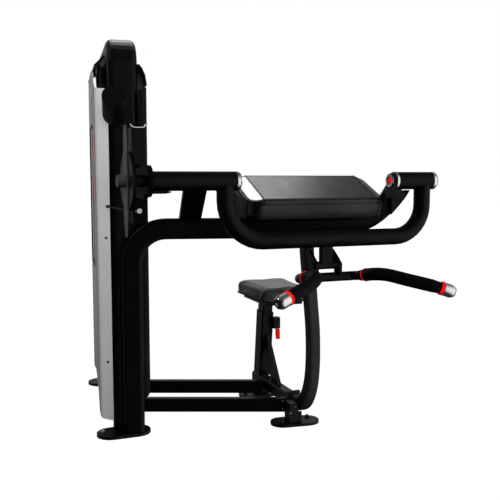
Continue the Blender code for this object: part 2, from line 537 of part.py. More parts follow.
# ----------------------------------------------------------------- swinging arm
turned("pivot_shaft", [(-0.3270, SHAFT_R), (HUB_L1 + GAP, SHAFT_R), (HUB_L1 + GAP + 0.0001, PIVOT_R + 0.0006), (HUB_L1 + 0.0105, PIVOT_R + 0.0006),
                       (HUB_L1 + CAP_LEN - 0.001, PIVOT_R - 0.004), (HUB_L1 + CAP_LEN, PIVOT_R - 0.010)], (0, 0, PIVOT_Z), (1, 0, 0), CHROME, ARM_AXIS, 40)
turned("left_hub", [(HUB_L0, PIVOT_R), (HUB_L1, PIVOT_R)], (0, 0, PIVOT_Z), (1, 0, 0), FRAME_BLACK, ARM_AXIS, 40, bore=SHAFT_R + GAP)
turned("right_hub", [(HUB_R0 - 0.0130, PIVOT_R - 0.003), (HUB_R0 - 0.0115, PIVOT_R), (HUB_R1, PIVOT_R)], (0, 0, PIVOT_Z), (1, 0, 0), FRAME_BLACK, ARM_AXIS, 40, bore=SHAFT_R + GAP)
turned("right_pivot_pin", [(0.7172, SHAFT_R), (HUB_R1 + GAP, SHAFT_R), (HUB_R1 + GAP + 0.0001, PIVOT_R + 0.0006), (HUB_R1 + 0.0125, PIVOT_R + 0.0006), (HUB_R1 + CAP_LEN + 0.0015, PIVOT_R - 0.004), (HUB_R1 + CAP_LEN + 0.0030, PIVOT_R - 0.010)],
       (0, 0, PIVOT_Z), (1, 0, 0), CHROME, ARM_AXIS, 40)

arm_path = fillet([(ARM_XL, 0.0, PIVOT_Z - 0.015), (ARM_XL, 0.0, ARM_Z), (ARM_XR, 0.0, ARM_Z), (ARM_XR, 0.0, PIVOT_Z - 0.015)], [ARM_BEND_L, ARM_BEND_R], seg=9)
u_arm = sweep("u_arm", arm_path, circle(ARM_R, 24), FRAME_BLACK, ARM_AXIS, side=(0, 1, 0))
cut(u_arm, turned("cut_arm_hubs", [(-0.05, PIVOT_R + GAP), (1.0, PIVOT_R + GAP)], (0, 0, PIVOT_Z), (1, 0, 0), FRAME_BLACK, ARM_AXIS, 48))
arm_top = box("cut_arm_top", (-0.1, -0.06, PIVOT_Z), (1.0, 0.06, PIVOT_Z + 0.06), FRAME_BLACK, ARM_AXIS)
cut(u_arm, arm_top)

# cam wheel with a belt groove, on the counterweight lever's sleeve
SLEEVE_R = 0.0210
turned("cam_wheel", [(CAM_XC - 0.0065, CAM_R + 0.004), (CAM_XC - 0.0053, CAM_R + 0.004), (CAM_XC - 0.0053, CAM_R), (CAM_XC + 0.0053, CAM_R), (CAM_XC + 0.0053, CAM_R + 0.004), (CAM_XC + 0.0065, CAM_R + 0.004)],
       (0, 0, PIVOT_Z), (1, 0, 0), GREY, ARM_AXIS, 40, bore=SLEEVE_R + GAP)
# counterweight lever: tall plate outside the cam, sleeve, inner arm and block
lever = []
for y, z in ((0.014, 0.184), (-0.014, 0.184), (-0.026, 0.090), (-0.032, -0.020), (-0.028, -0.110), (-0.010, -0.186), (0.010, -0.186), (0.028, -0.110), (0.032, -0.020), (0.026, 0.090)):
    lever.append((y, PIVOT_Z + z))
cw = prism("counterweight_lever", lever, -0.3035, -0.2998, "X", GREY, ARM_AXIS)
cut(cw, turned("add_sleeve", [(-0.3280, SLEEVE_R), (-0.2450, SLEEVE_R)], (0, 0, PIVOT_Z), (1, 0, 0), GREY, ARM_AXIS, 32), "UNION")
inner = [(0.022, 0.070), (-0.022, 0.070), (-0.024, -0.020), (0.024, -0.020)]
cut(cw, prism("add_inner_arm", [(y, PIVOT_Z + z) for y, z in inner], -0.2860, -0.2760, "X", GREY, ARM_AXIS), "UNION")
cut(cw, box("add_counterweight", (-0.2855, -0.030, PIVOT_Z + 0.054), (-0.2450, 0.030, PIVOT_Z + 0.176), FRAME_BLACK, ARM_AXIS, 0.0), "UNION")
cut(cw, turned("cut_lever_eye", [(-0.34, SHAFT_R + GAP), (-0.22, SHAFT_R + GAP)], (0, 0, PIVOT_Z), (1, 0, 0), GREY, ARM_AXIS, 32))

# start-position pull pin, on a sector plate welded to the carrier
PIN_AT = (-0.2640, 0.0, PIVOT_Z - 0.098)
cut(carrier, box("add_start_web", (-0.2420, 0.0, PIVOT_Z - 0.140), (-0.2300, 0.048, PIVOT_Z - 0.0450), FRAME_BLACK, MACHINE, 0.0), "UNION")
cut(carrier, box("add_start_plate", (-0.2780, 0.0, PIVOT_Z - 0.140), (-0.2400, 0.048, PIVOT_Z - 0.0630), FRAME_BLACK, MACHINE, 0.0), "UNION")
cut(carrier, turned("cut_start_pin", [(-0.10, 0.0056), (0.10, 0.0056)], PIN_AT, (0, 1, 0), FRAME_BLACK, MACHINE, 16))
turned("start_pin", [(-0.0300, 0.0080), (-0.0280, 0.0105), (-0.0100, 0.0105), (-0.0085, 0.0085), (-0.0060, 0.0050), (0.0420, 0.0050)],
       PIN_AT, (0, 1, 0), CHROME, MACHINE, 20)

# ------------------------------------------------------------- handle and links
BUSH_Z = 0.673
drop = box("drop_link", (0.4210, -0.0130, BUSH_Z + 0.004), (0.4690, 0.0130, ARM_Z), FRAME_BLACK, ARM_AXIS, 0.003)
cut(drop, turned("add_bush", [(0.4070, 0.0150), (0.4900, 0.0150)], (0, 0, BUSH_Z), (1, 0, 0), FRAME_BLACK, ARM_AXIS, 28), "UNION")
cut(drop, turned("cut_drop_top", [(0.30, ARM_R + GAP), (0.60, ARM_R + GAP)], (0, 0, ARM_Z), (1, 0, 0), FRAME_BLACK, ARM_AXIS, 48))
cut(drop, turned("cut_bush_bore", [(0.38, 0.0083), (0.52, 0.0083)], (0, 0, BUSH_Z), (1, 0, 0), FRAME_BLACK, ARM_AXIS, 24))

BAR_R = 0.0175
GRIP_R = 0.0235
BAR_Z = 0.628


def ear(name, x0, x1):
    o = []
    for i in range(9):
        a = math.radians(180 - 180 * i / 8)
        o.append(((BAR_R + GAP) * math.cos(a), BAR_Z + (BAR_R + GAP) * math.sin(a)))
    o += [(0.0225, BAR_Z), (0.0225, BUSH_Z - 0.006), (0.0670, 0.7100), (0.0660, 0.7230), (0.0540, 0.7290), (0.0420, 0.7260), (-0.0060, BUSH_Z + 0.0200), (-0.0190, BUSH_Z + 0.0080), (-0.0225, BUSH_Z - 0.008), (-0.0225, BAR_Z)]
    return prism(name, o, x0, x1, "X", FRAME_BLACK, HANDLE_AXIS)


swivel = ear("swivel_bracket", 0.3950, 0.4055)
right_ear = ear("add_right_ear", 0.4915, 0.5020)
pin = turned("add_swivel_pin", [(0.3930, 0.0080), (0.5040, 0.0080)], (0, 0, BUSH_Z), (1, 0, 0), FRAME_BLACK, HANDLE_AXIS, 20)
pin_head_l = turned("add_swivel_nut_l", [(0.3885, 0.0125), (0.3955, 0.0125)], (0, 0, BUSH_Z), (1, 0, 0), FRAME_BLACK, HANDLE_AXIS, 6)
pin_head_r = turned("add_swivel_nut_r", [(0.5015, 0.0125), (0.5085, 0.0125)], (0, 0, BUSH_Z), (1, 0, 0), FRAME_BLACK, HANDLE_AXIS, 6)
for t in (pin, right_ear, pin_head_l, pin_head_r):
    cut(swivel, t, "UNION")
cut(swivel, turned("cut_ear_saddle", [(0.370, BAR_R + GAP), (0.530, BAR_R + GAP)], (0, 0, BAR_Z), (1, 0, 0), FRAME_BLACK, HANDLE_AXIS, 32))

half = [(0.0, 0.0, BAR_Z), (0.100, 0.0, BAR_Z), (0.116, -0.012, BAR_Z + 0.002), (0.122, -0.047, BAR_Z + 0.007), (0.124, -0.120, BAR_Z + 0.020),
        (0.130, -0.172, BAR_Z + 0.026), (0.150, -0.208, BAR_Z + 0.024), (0.185, -0.240, BAR_Z + 0.014), (0.235, -0.274, BAR_Z + 0.001), (0.290, -0.304, BAR_Z - 0.014),
        (0.337, -0.3182, BAR_Z - 0.0305)]
right_half = [Vector((0.075, 0.0, BAR_Z))] + spline(half[1:], per=2)
INNER_I = 5             # station index of the grip's inner end on the half path
HANDLE_MID = ARM_MID - 0.0075
left_pts = [Vector((HANDLE_MID - p.x, p.y, p.z)) for p in reversed(right_half)]
right_pts = [Vector((HANDLE_MID + p.x, p.y, p.z)) for p in right_half]
bar_path = left_pts + right_pts
sweep("handlebar", bar_path, circle(BAR_R, 16), FRAME_BLACK, HANDLE_AXIS)

grip_half = right_half[INNER_I:-2]


def tube_sleeve(name, path, r_out, r_in, material, parent, n=16):
    """Open-ended sleeve along a path."""
    path = [Vector(p) for p in path]
    m = len(path)
    bm = bmesh.new()
    v = None
    outer, inner = [], []
    for i in range(m):
        a = path[i] - path[i - 1] if i else path[1] - path[0]
        b = path[i + 1] - path[i] if i < m - 1 else path[-1] - path[-2]
        t = (a.normalized() + b.normalized()).normalized()
        v = t.orthogonal().normalized() if v is None else (v - t * v.dot(t)).normalized()
        u = v.cross(t).normalized()
        ro = r_out - (0.0030 if i in (0, m - 1) else 0.0)
        outer.append([bm.verts.new(path[i] + (u * math.cos(2 * math.pi * j / n) + v * math.sin(2 * math.pi * j / n)) * ro) for j in range(n)])
        inner.append([bm.verts.new(path[i] + (u * math.cos(2 * math.pi * j / n) + v * math.sin(2 * math.pi * j / n)) * r_in) for j in range(n)])
    for i in range(m - 1):
        for j in range(n):
            k = (j + 1) % n
            bm.faces.new((outer[i][j], outer[i][k], outer[i + 1][k], outer[i + 1][j]))
            bm.faces.new((inner[i][j], inner[i + 1][j], inner[i + 1][k], inner[i][k]))
    for e in (0, m - 1):
        for j in range(n):
            k = (j + 1) % n
            bm.faces.new((outer[e][j], outer[e][k], inner[e][k], inner[e][j]))
    return finish(name, bm, material, parent)


tube_sleeve("grip_right", [Vector((HANDLE_MID + p.x, p.y, p.z)) for p in grip_half], GRIP_R, BAR_R + 0.0008, RUBBER, HANDLE_AXIS)
tube_sleeve("grip_left", [Vector((HANDLE_MID - p.x, p.y, p.z)) for p in grip_half], GRIP_R, BAR_R + 0.0008, RUBBER, HANDLE_AXIS)

# -------------------------------------------------------- spine, base and seat
spine_path = spline([(SPINE_X, 0.170, FRAME_Z - FRAME_H / 2 - 0.0022), (SPINE_X, 0.167, 0.7000), (SPINE_X, 0.1500, 0.6200), (SPINE_X, 0.1325, 0.5200), (SPINE_X, 0.1120, 0.4100), (SPINE_X, 0.1070, 0.3050),
                     (SPINE_X, 0.1150, 0.2200), (SPINE_X, 0.1370, 0.1540), (SPINE_X, 0.1740, 0.1040), (SPINE_X, 0.2220, 0.0800), (SPINE_X, 0.2900, 0.0760)], per=3)
upright = sweep("main_upright", spine_path, rrect(0.056, 0.044, 0.009, 2), FRAME_BLACK, MACHINE, side=(1, 0, 0))
cut(upright, box("add_joint_flange", (SPINE_X - 0.032, 0.2850, 0.0390), (SPINE_X + 0.032, 0.3000, 0.1130), FRAME_BLACK, MACHINE, 0.002), "UNION")
box("cross_member", (SPINE_X - 0.025, 0.3003, 0.0510), (SPINE_X + 0.025, 0.6950, 0.1010), FRAME_BLACK, MACHINE, 0.006)

FRONT_FOOT = (0.4255, 0.2235)
ff = prism("front_foot", stadium(FRONT_FOOT[0], FRONT_FOOT[1], 0.203, 0.100, math.radians(-7)), 0.0, 0.012, "Z", FRAME_BLACK, MACHINE)
ped = [(0.1870, 0.0060), (0.2400, 0.0060), (0.2400, 0.0470), (0.2220, 0.0492), (0.2100, 0.0515), (0.2000, 0.0545), (0.1870, 0.0595)]
cut(ff, prism("add_foot_pedestal", ped, 0.3880, 0.4400, "X", FRAME_BLACK, MACHINE), "UNION")
cut(ff, box("add_foot_block", (0.3880, 0.1870, 0.0400), (0.4250, 0.2370, 0.0930), FRAME_BLACK, MACHINE, 0.0), "UNION")
rf = prism("rear_foot", stadium(SPINE_X, 0.640, 0.212, 0.100, 0.0), 0.0, 0.012, "Z", FRAME_BLACK, MACHINE)
cut(rf, box("add_rear_pedestal", (SPINE_X - 0.030, 0.615, 0.0060), (SPINE_X + 0.030, 0.665, 0.0507), FRAME_BLACK, MACHINE, 0.002), "UNION")

beam_dir = Vector((-0.9304, 0.3665, 0.0))
beam_side = Vector((beam_dir.y, -beam_dir.x, 0.0))
NEAR_END = Vector((SPINE_X - 0.0420, 0.2620, 0.0685))
FAR_END = Vector((SPINE_X - 0.0260 - 0.0073, 0.5430, 0.0685))
near_beam = sweep("near_beam", [NEAR_END, NEAR_END + beam_dir * 0.700], rrect(0.056, 0.040, 0.007, 2), FRAME_BLACK, MACHINE, side=beam_side)
far_beam = sweep("far_beam", [FAR_END, FAR_END + beam_dir * 0.680], rrect(0.056, 0.040, 0.007, 2), FRAME_BLACK, MACHINE, side=beam_side)
rail_tool = box("cut_beam_ends", (POST_X - 0.20, 0.02, 0.0), (POST_X + 0.0303, 0.76, 0.14), FRAME_BLACK, TOWER)
cut(near_beam, rail_tool)
cut(far_beam, rail_tool)

# pad support: bracket from the upright's top, steel base plate, padded top
PAD_TILT = math.atan2(1.005 - 0.921, 0.234 - 0.047)
pad_c = Vector((ARM_MID, 0.1405, 0.963))       # middle of the pad's top face
pad_up = Vector((0.0, -math.sin(PAD_TILT), math.cos(PAD_TILT)))
pad_back = Vector((0.0, math.cos(PAD_TILT), math.sin(PAD_TILT)))


def on_pad(x, y, h):
    p = pad_c + pad_back * y + pad_up * h
    return (p.y, p.z)


PAD_T = 0.060
pad_len = 0.232
tray_out = [(0.1705, 0.2560), (0.1705, 0.1120), (0.2050, 0.0735), (0.6900, 0.0735), (0.6900, 0.2560)]
tray_in = [(0.1735, 0.2530), (0.1735, 0.1132), (0.2064, 0.0765), (0.6870, 0.0765), (0.6870, 0.2530)]


def over_pad_plane(name, h):
    pts = [on_pad(0, -0.20, h), on_pad(0, 0.20, h), on_pad(0, 0.20, 0.10), on_pad(0, -0.20, 0.10)]
    return prism(name, pts, 0.10, 0.80, "X", FRAME_BLACK, MACHINE)


# folded sheet tray under the pad, open below, resting over the frame tube
tray = prism("add_pad_tray", tray_out, 0.8436, 0.9700, "Z", FRAME_BLACK, MACHINE)
cut(tray, over_pad_plane("cut_tray_top", -PAD_T - GAP))
tray_hollow = prism("cut_tray_hollow", tray_in, 0.8000, 0.9750, "Z", FRAME_BLACK, MACHINE)
cut(tray_hollow, over_pad_plane("cut_tray_lid", -PAD_T - GAP - 0.0035))
cut(tray, tray_hollow)
cut(tray, box("cut_tray_notch", (0.6550, 0.0766, 0.8000), (0.7000, 0.1350, 0.9700), FRAME_BLACK, MACHINE, 0.0))
top_of_post = on_pad(0, -0.030, -PAD_T - 0.0068)
arm_out = [on_pad(0, -0.040, -PAD_T - 0.0020), on_pad(0, 0.080, -PAD_T - 0.0020), (0.2150, 0.8640), (0.2050, 0.8443), (0.1300, 0.8443), (0.1200, 0.8600)]
cut(prism("pad_bracket", arm_out, SPINE_X - 0.030, SPINE_X + 0.030, "X", FRAME_BLACK, MACHINE), tray, "UNION")

# the arm pad: flat tilted top, bevelled side panels, rounded near corners
PAD_HALF, PAD_SEAM, PAD_DROP = 0.288, 0.238, 0.019
PAD_Y0, PAD_Y1, PAD_CORNER = -0.108, 0.110, 0.050


def pad_outline(inset):
    pts = []
    for k in range(6):
        a = math.radians(180 + 90 * k / 5)
        pts.append((-PAD_HALF + PAD_CORNER + (PAD_CORNER - inset) * math.cos(a), PAD_Y0 + PAD_CORNER + (PAD_CORNER - inset) * math.sin(a)))
    for k in range(6):
        a = math.radians(270 + 90 * k / 5)
        pts.append((PAD_HALF - PAD_CORNER + (PAD_CORNER - inset) * math.cos(a), PAD_Y0 + PAD_CORNER + (PAD_CORNER - inset) * math.sin(a)))
    for k in range(3):
        a = math.radians(90 * k / 2)
        pts.append((PAD_HALF - 0.015 + (0.015 - inset) * math.cos(a), PAD_Y1 - 0.015 + (0.015 - inset) * math.sin(a)))
    pts += [(PAD_SEAM, PAD_Y1 - inset), (-PAD_SEAM, PAD_Y1 - inset)]
    for k in range(3):
        a = math.radians(90 + 90 * k / 2)
        pts.append((-PAD_HALF + 0.015 + (0.015 - inset) * math.cos(a), PAD_Y1 - 0.015 + (0.015 - inset) * math.sin(a)))
    return pts


def side_drop(x):
    return PAD_DROP * max(0.0, (abs(x) - PAD_SEAM) / (PAD_HALF - PAD_SEAM))


bm = bmesh.new()
rings = []
for inset, h, follow in ((0.004, -PAD_T, 0.0), (0.0, -PAD_T + 0.005, 0.0), (0.0, -0.006, 1.0), (0.004, 0.0, 1.0)):
    ring = []
    for x, y in pad_outline(inset):
        p = pad_c + pad_back * y + pad_up * (h - follow * side_drop(x))
        ring.append(bm.verts.new((ARM_MID + x, p.y, p.z)))
    rings.append(ring)
k = len(rings[0])
for i in range(len(rings) - 1):
    for j in range(k):
        bm.faces.new((rings[i][j], rings[i][(j + 1) % k], rings[i + 1][(j + 1) % k], rings[i + 1][j]))
bm.faces.new(rings[0])
# top: the middle panel and the two side panels meet on the seams
tp = rings[-1]
bm.faces.new(tp[0:6] + tp[16:20])
bm.faces.new([tp[5], tp[6], tp[15], tp[16]])
bm.faces.new(tp[6:16])
pad = finish("arm_pad", bm, PAD, MACHINE)
# the cushion is relieved round the frame tube where it rises past the end
cut(pad, sweep("cut_pad_relief", [in_frame_plane(0.60, FRAME_Z)] + tip + [in_frame_plane(1.060, FRAME_Z + 0.2090)], rrect(FRAME_H + 0.004, FRAME_T + 0.004, 0.016, 2), PAD, MACHINE, side=frame_side))

# seat post leans a little back at its foot; the slider moves along its axis
POST_LO = Vector((SPINE_X, 0.628, 0.1013))
POST_HI = Vector((SPINE_X, 0.592, 0.4000))
post_dir = (POST_HI - POST_LO).normalized()
post_back = Vector((0.0, post_dir.z, -post_dir.y))


def post_tube(name, s0, s1, w, d, material, bore=None):
    """Box tube square to the post's axis; w across X, d along the other side."""
    bm = bmesh.new()

    def ring(s, ww, dd):
        c = POST_LO + post_dir * s
        return [bm.verts.new(c + Vector((px, 0, 0)) + post_back * py) for px, py in rrect(ww, dd, 0.006, 2)]
    a, b = ring(s0, w, d), ring(s1, w, d)
    k = len(a)
    for j in range(k):
        bm.faces.new((a[j], a[(j + 1) % k], b[(j + 1) % k], b[j]))
    if bore:
        c, e = ring(s0, bore[0], bore[1]), ring(s1, bore[0], bore[1])
        for j in range(k):
            jj = (j + 1) % k
            bm.faces.new((c[j], e[j], e[jj], c[jj]))
            bm.faces.new((a[j], a[jj], c[jj], c[j]))
            bm.faces.new((b[j], e[j], e[jj], b[jj]))
    else:
        bm.faces.new(a)
        bm.faces.new(b)
    return finish(name, bm, material, MACHINE)


POST_LEN = (POST_HI - POST_LO).length
post = post_tube("seat_post", 0.0062, POST_LEN, 0.056, 0.074, FRAME_BLACK, bore=(0.0485, 0.0665))
slider = post_tube("seat_slider", 0.060, POST_LEN + 0.058, 0.0475, 0.0655, FRAME_BLACK)
HEAD = POST_LO + post_dir * (POST_LEN + 0.058)
seat_board = box("add_seat_board", (SPINE_X - 0.085, 0.380, 0.4600), (SPINE_X + 0.085, 0.640, 0.4760), FRAME_BLACK, MACHINE, 0.003)
cut(slider, seat_board, "UNION")

SEAT_X = 0.455
SEAT_Y0, SEAT_Y1 = 0.332, 0.680
seat_out = []
for cx, cy, a0 in ((SEAT_X + 0.074, SEAT_Y1 - 0.050, 0), (SEAT_X - 0.074, SEAT_Y1 - 0.050, 90), (SEAT_X - 0.062, SEAT_Y0 + 0.050, 180), (SEAT_X + 0.062, SEAT_Y0 + 0.050, 270)):
    for i in range(5):
        a = math.radians(a0 + 90 * i / 4)
        seat_out.append((cx + 0.050 * math.cos(a), cy + 0.050 * math.sin(a)))
bm = bmesh.new()
levels = [(0.4763, 0.0060), (0.4830, 0.0), (SEAT_TOP - 0.012, 0.0), (SEAT_TOP - 0.003, 0.006), (SEAT_TOP, 0.016)]
cen = Vector((SEAT_X, (SEAT_Y0 + SEAT_Y1) / 2, 0.0))
rings = []
for z, ins in levels:
    ring = []
    for x, y in seat_out:
        d = Vector((x, y, 0)) - cen
        q = cen + Vector((d.x * (1 - ins / 0.125), d.y * (1 - ins / 0.174), 0))
        ring.append(bm.verts.new((q.x, q.y, z)))
    rings.append(ring)
k = len(seat_out)
for i in range(len(rings) - 1):
    for j in range(k):
        bm.faces.new((rings[i][j], rings[i][(j + 1) % k], rings[i + 1][(j + 1) % k], rings[i + 1][j]))
bm.faces.new(rings[0])
bm.faces.new(rings[-1])
finish("seat_pad", bm, PAD, MACHINE)

# latch housing and red lever on the post's front face, near its top
LATCH = POST_LO + post_dir * (POST_LEN - 0.048)
fy = LATCH.y - 0.037 * post_back.y - GAP
fz = LATCH.z
cut(post, box("add_latch_block", (SPINE_X + 0.018, fy - 0.030, fz - 0.025), (SPINE_X + 0.0475, fy + 0.0012, fz + 0.025), FRAME_BLACK, MACHINE, 0.0), "UNION")
LEVER_AXIS = Vector((SPINE_X + 0.0380, fy - 0.022, fz - 0.0345))
lv = [(LEVER_AXIS.y + 0.006, LEVER_AXIS.z + 0.006), (LEVER_AXIS.y - 0.006, LEVER_AXIS.z + 0.006), (LEVER_AXIS.y - 0.0085, LEVER_AXIS.z - 0.020),
      (LEVER_AXIS.y - 0.0075, LEVER_AXIS.z - 0.038), (LEVER_AXIS.y - 0.0010, LEVER_AXIS.z - 0.040), (LEVER_AXIS.y + 0.004, LEVER_AXIS.z - 0.020)]
prism("seat_lever", lv, LEVER_AXIS.x - 0.0085, LEVER_AXIS.x + 0.0085, "X", RED, MACHINE)

# brace plate from the post down to the cross member
br = [(0.5710, 0.2620), (0.5540, 0.2900), (0.4250, 0.1013), (0.5060, 0.1013)]
prism("seat_brace", br, SPINE_X - 0.008, SPINE_X + 0.008, "X", FRAME_BLACK, MACHINE)

bpy.context.view_layer.update()
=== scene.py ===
# Visual model of the biceps machine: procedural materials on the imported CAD
# model, padded arm pad and seat, collars, caps, fasteners, weld beads and trim.
import bpy
import bmesh
import json
import math
import random
from mathutils import Vector, Matrix

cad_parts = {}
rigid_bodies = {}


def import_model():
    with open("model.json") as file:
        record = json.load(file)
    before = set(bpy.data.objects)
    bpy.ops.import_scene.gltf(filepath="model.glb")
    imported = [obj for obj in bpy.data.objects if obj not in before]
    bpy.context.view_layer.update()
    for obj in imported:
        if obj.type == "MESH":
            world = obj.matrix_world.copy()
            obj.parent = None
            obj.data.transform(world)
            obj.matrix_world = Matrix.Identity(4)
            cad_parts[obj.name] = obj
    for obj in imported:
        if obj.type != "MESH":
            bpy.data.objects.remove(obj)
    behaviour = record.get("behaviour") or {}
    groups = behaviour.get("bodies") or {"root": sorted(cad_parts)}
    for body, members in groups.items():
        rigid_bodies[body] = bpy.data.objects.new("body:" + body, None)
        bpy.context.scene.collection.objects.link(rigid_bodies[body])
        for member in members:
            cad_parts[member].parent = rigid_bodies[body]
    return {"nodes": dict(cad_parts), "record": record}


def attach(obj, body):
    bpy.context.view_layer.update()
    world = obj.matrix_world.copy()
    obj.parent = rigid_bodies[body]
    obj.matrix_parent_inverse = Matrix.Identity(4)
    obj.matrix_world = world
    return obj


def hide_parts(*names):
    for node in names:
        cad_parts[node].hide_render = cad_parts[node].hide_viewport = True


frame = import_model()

random.seed(7)
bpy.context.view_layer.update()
NODES = frame["nodes"]

# Machine coordinates (X on the pivot axis, the axis at Y = 0) and tower
# coordinates (turned with the weight tower) into the part's frame
OFF = Vector((-0.28075, -0.41044, 0.0))
T0 = Vector((-0.53075, -0.05744, 0.0))
XT = Vector((0.992966, -0.118404, 0.0))
YT = Vector((0.118404, 0.992966, 0.0))
UP = Vector((0.0, 0.0, 1.0))


def A(x, y, z):
    return Vector((x, y, z)) + OFF


def T(x, y, z):
    return T0 + XT * x + YT * y + UP * z


PIVOT_Z = 0.986

# ------------------------------------------------------------------- materials


def material(name, rgb, rough, metal=0.0, coat=0.0, coat_rough=0.15, spec=0.5, sheen=0.0):
    m = bpy.data.materials.new(name)
    m.use_nodes = True
    b = m.node_tree.nodes["Principled BSDF"]
    b.inputs["Base Color"].default_value = (*rgb, 1.0)
    b.inputs["Roughness"].default_value = rough
    b.inputs["Metallic"].default_value = metal
    b.inputs["Coat Weight"].default_value = coat
    b.inputs["Coat Roughness"].default_value = coat_rough
    b.inputs["Specular IOR Level"].default_value = spec
    b.inputs["Sheen Weight"].default_value = sheen
    return m


def coords(m):
    nt = m.node_tree
    for n in nt.nodes:
        if n.type == "TEX_COORD":
            return n.outputs["Object"]
    return nt.nodes.new("ShaderNodeTexCoord").outputs["Object"]


def noise(m, scale, detail=3.0, rough=0.5, stretch=None):
    nt = m.node_tree
    t = nt.nodes.new("ShaderNodeTexNoise")
    t.inputs["Scale"].default_value = scale
    t.inputs["Detail"].default_value = detail
    t.inputs["Roughness"].default_value = rough
    src = coords(m)
    if stretch:
        mp = nt.nodes.new("ShaderNodeMapping")
        mp.inputs["Scale"].default_value = stretch
        nt.links.new(src, mp.inputs["Vector"])
        src = mp.outputs["Vector"]
    nt.links.new(src, t.inputs["Vector"])
    return t.outputs["Fac"]


def remap(m, src, a, b, c=0.3, d=0.7):
    nt = m.node_tree
    r = nt.nodes.new("ShaderNodeMapRange")
    r.inputs["From Min"].default_value = c
    r.inputs["From Max"].default_value = d
    r.inputs["To Min"].default_value = a
    r.inputs["To Max"].default_value = b
    nt.links.new(src, r.inputs["Value"])
    return r.outputs["Result"]


def vary_rough(m, src, a, b):
    nt = m.node_tree
    nt.links.new(remap(m, src, a, b), nt.nodes["Principled BSDF"].inputs["Roughness"])


def vary_colour(m, src, c0, c1, lo=0.3, hi=0.7):
    nt = m.node_tree
    r = nt.nodes.new("ShaderNodeValToRGB")
    r.color_ramp.elements[0].position = lo
    r.color_ramp.elements[0].color = (*c0, 1.0)
    r.color_ramp.elements[1].position = hi
    r.color_ramp.elements[1].color = (*c1, 1.0)
    nt.links.new(src, r.inputs["Fac"])
    nt.links.new(r.outputs["Color"], nt.nodes["Principled BSDF"].inputs["Base Color"])
    return r


def bump(m, src, strength, distance):
    nt = m.node_tree
    p = nt.nodes["Principled BSDF"]
    b = nt.nodes.new("ShaderNodeBump")
    b.inputs["Strength"].default_value = strength
    b.inputs["Distance"].default_value = distance
    nt.links.new(src, b.inputs["Height"])
    if p.inputs["Normal"].is_linked:
        nt.links.new(p.inputs["Normal"].links[0].from_socket, b.inputs["Normal"])
    nt.links.new(b.outputs["Normal"], p.inputs["Normal"])


# black powder coat: fine orange peel, broad change of gloss
POWDER = material("powder_black", (0.0028, 0.0028, 0.0029), 0.36, spec=0.15)
vary_colour(POWDER, noise(POWDER, 5.0, 3.0), (0.0022, 0.0022, 0.0022), (0.0036, 0.0036, 0.0037))
vary_rough(POWDER, noise(POWDER, 14.0, 4.0), 0.34, 0.44)
bump(POWDER, noise(POWDER, 420.0, 2.0), 0.10, 0.0004)

# the same coat, duller, on the sheet plates of the bearing carrier
MATT = material("powder_black_matt", (0.0026, 0.0026, 0.0026), 0.55, spec=0.05)
vary_rough(MATT, noise(MATT, 60.0, 3.0), 0.48, 0.60)
bump(MATT, noise(MATT, 600.0, 2.0), 0.08, 0.0003)

# silver paint with fine flake
SILVER = material("silver_paint", (0.45, 0.45, 0.436), 0.44, metal=0.15, coat=0.10, coat_rough=0.28)
vary_colour(SILVER, noise(SILVER, 3.0, 2.0), (0.43, 0.43, 0.417), (0.475, 0.475, 0.462))
vary_rough(SILVER, noise(SILVER, 30.0, 4.0), 0.38, 0.47)
bump(SILVER, noise(SILVER, 700.0, 2.0), 0.06, 0.0003)

# dark grey textured sheet cover
COVER = material("cover_grey_paint", (0.0055, 0.0055, 0.0054), 0.5, spec=0.12)
vary_colour(COVER, noise(COVER, 4.0, 3.0), (0.0045, 0.0045, 0.0044), (0.0068, 0.0068, 0.0066))
vary_rough(COVER, noise(COVER, 40.0, 4.0), 0.46, 0.56)
bump(COVER, noise(COVER, 520.0, 3.0), 0.14, 0.0004)

# cast plates: coarse skin
CAST = material("cast_black", (0.010, 0.010, 0.010), 0.6, metal=0.2, spec=0.3)
vary_colour(CAST, noise(CAST, 60.0, 5.0), (0.006, 0.006, 0.006), (0.014, 0.0138, 0.0135))
vary_rough(CAST, noise(CAST, 90.0, 4.0), 0.5, 0.72)
bump(CAST, noise(CAST, 260.0, 5.0, 0.65), 0.25, 0.0008)

CHROME = material("chrome_plate", (0.92, 0.92, 0.92), 0.07, metal=1.0)
vary_rough(CHROME, noise(CHROME, 60.0, 3.0, stretch=(1.0, 1.0, 1.0)), 0.05, 0.10)

ZINC = material("zinc_bolt", (0.55, 0.55, 0.54), 0.28, metal=1.0)
vary_rough(ZINC, noise(ZINC, 300.0, 3.0), 0.22, 0.36)

OXIDE = material("black_oxide_bolt", (0.016, 0.016, 0.016), 0.38, metal=0.5)
vary_rough(OXIDE, noise(OXIDE, 300.0, 3.0), 0.32, 0.46)
bump(OXIDE, noise(OXIDE, 600.0, 2.0), 0.08, 0.0003)

# moulded rubber
RUBBER = material("rubber_moulded", (0.0035, 0.0035, 0.0035), 0.62, spec=0.15)
vary_colour(RUBBER, noise(RUBBER, 12.0, 3.0), (0.0026, 0.0026, 0.0026), (0.0044, 0.0044, 0.0044))
vary_rough(RUBBER, noise(RUBBER, 30.0, 4.0), 0.56, 0.68)
bump(RUBBER, noise(RUBBER, 900.0, 3.0), 0.18, 0.0004)

# grip foam: dense skin with fine pits
GRIP = material("grip_rubber", (0.0035, 0.0035, 0.0035), 0.60, spec=0.12)
vary_colour(GRIP, noise(GRIP, 40.0, 4.0), (0.0026, 0.0026, 0.0026), (0.0048, 0.0047, 0.0046))
vary_rough(GRIP, noise(GRIP, 60.0, 4.0), 0.52, 0.66)


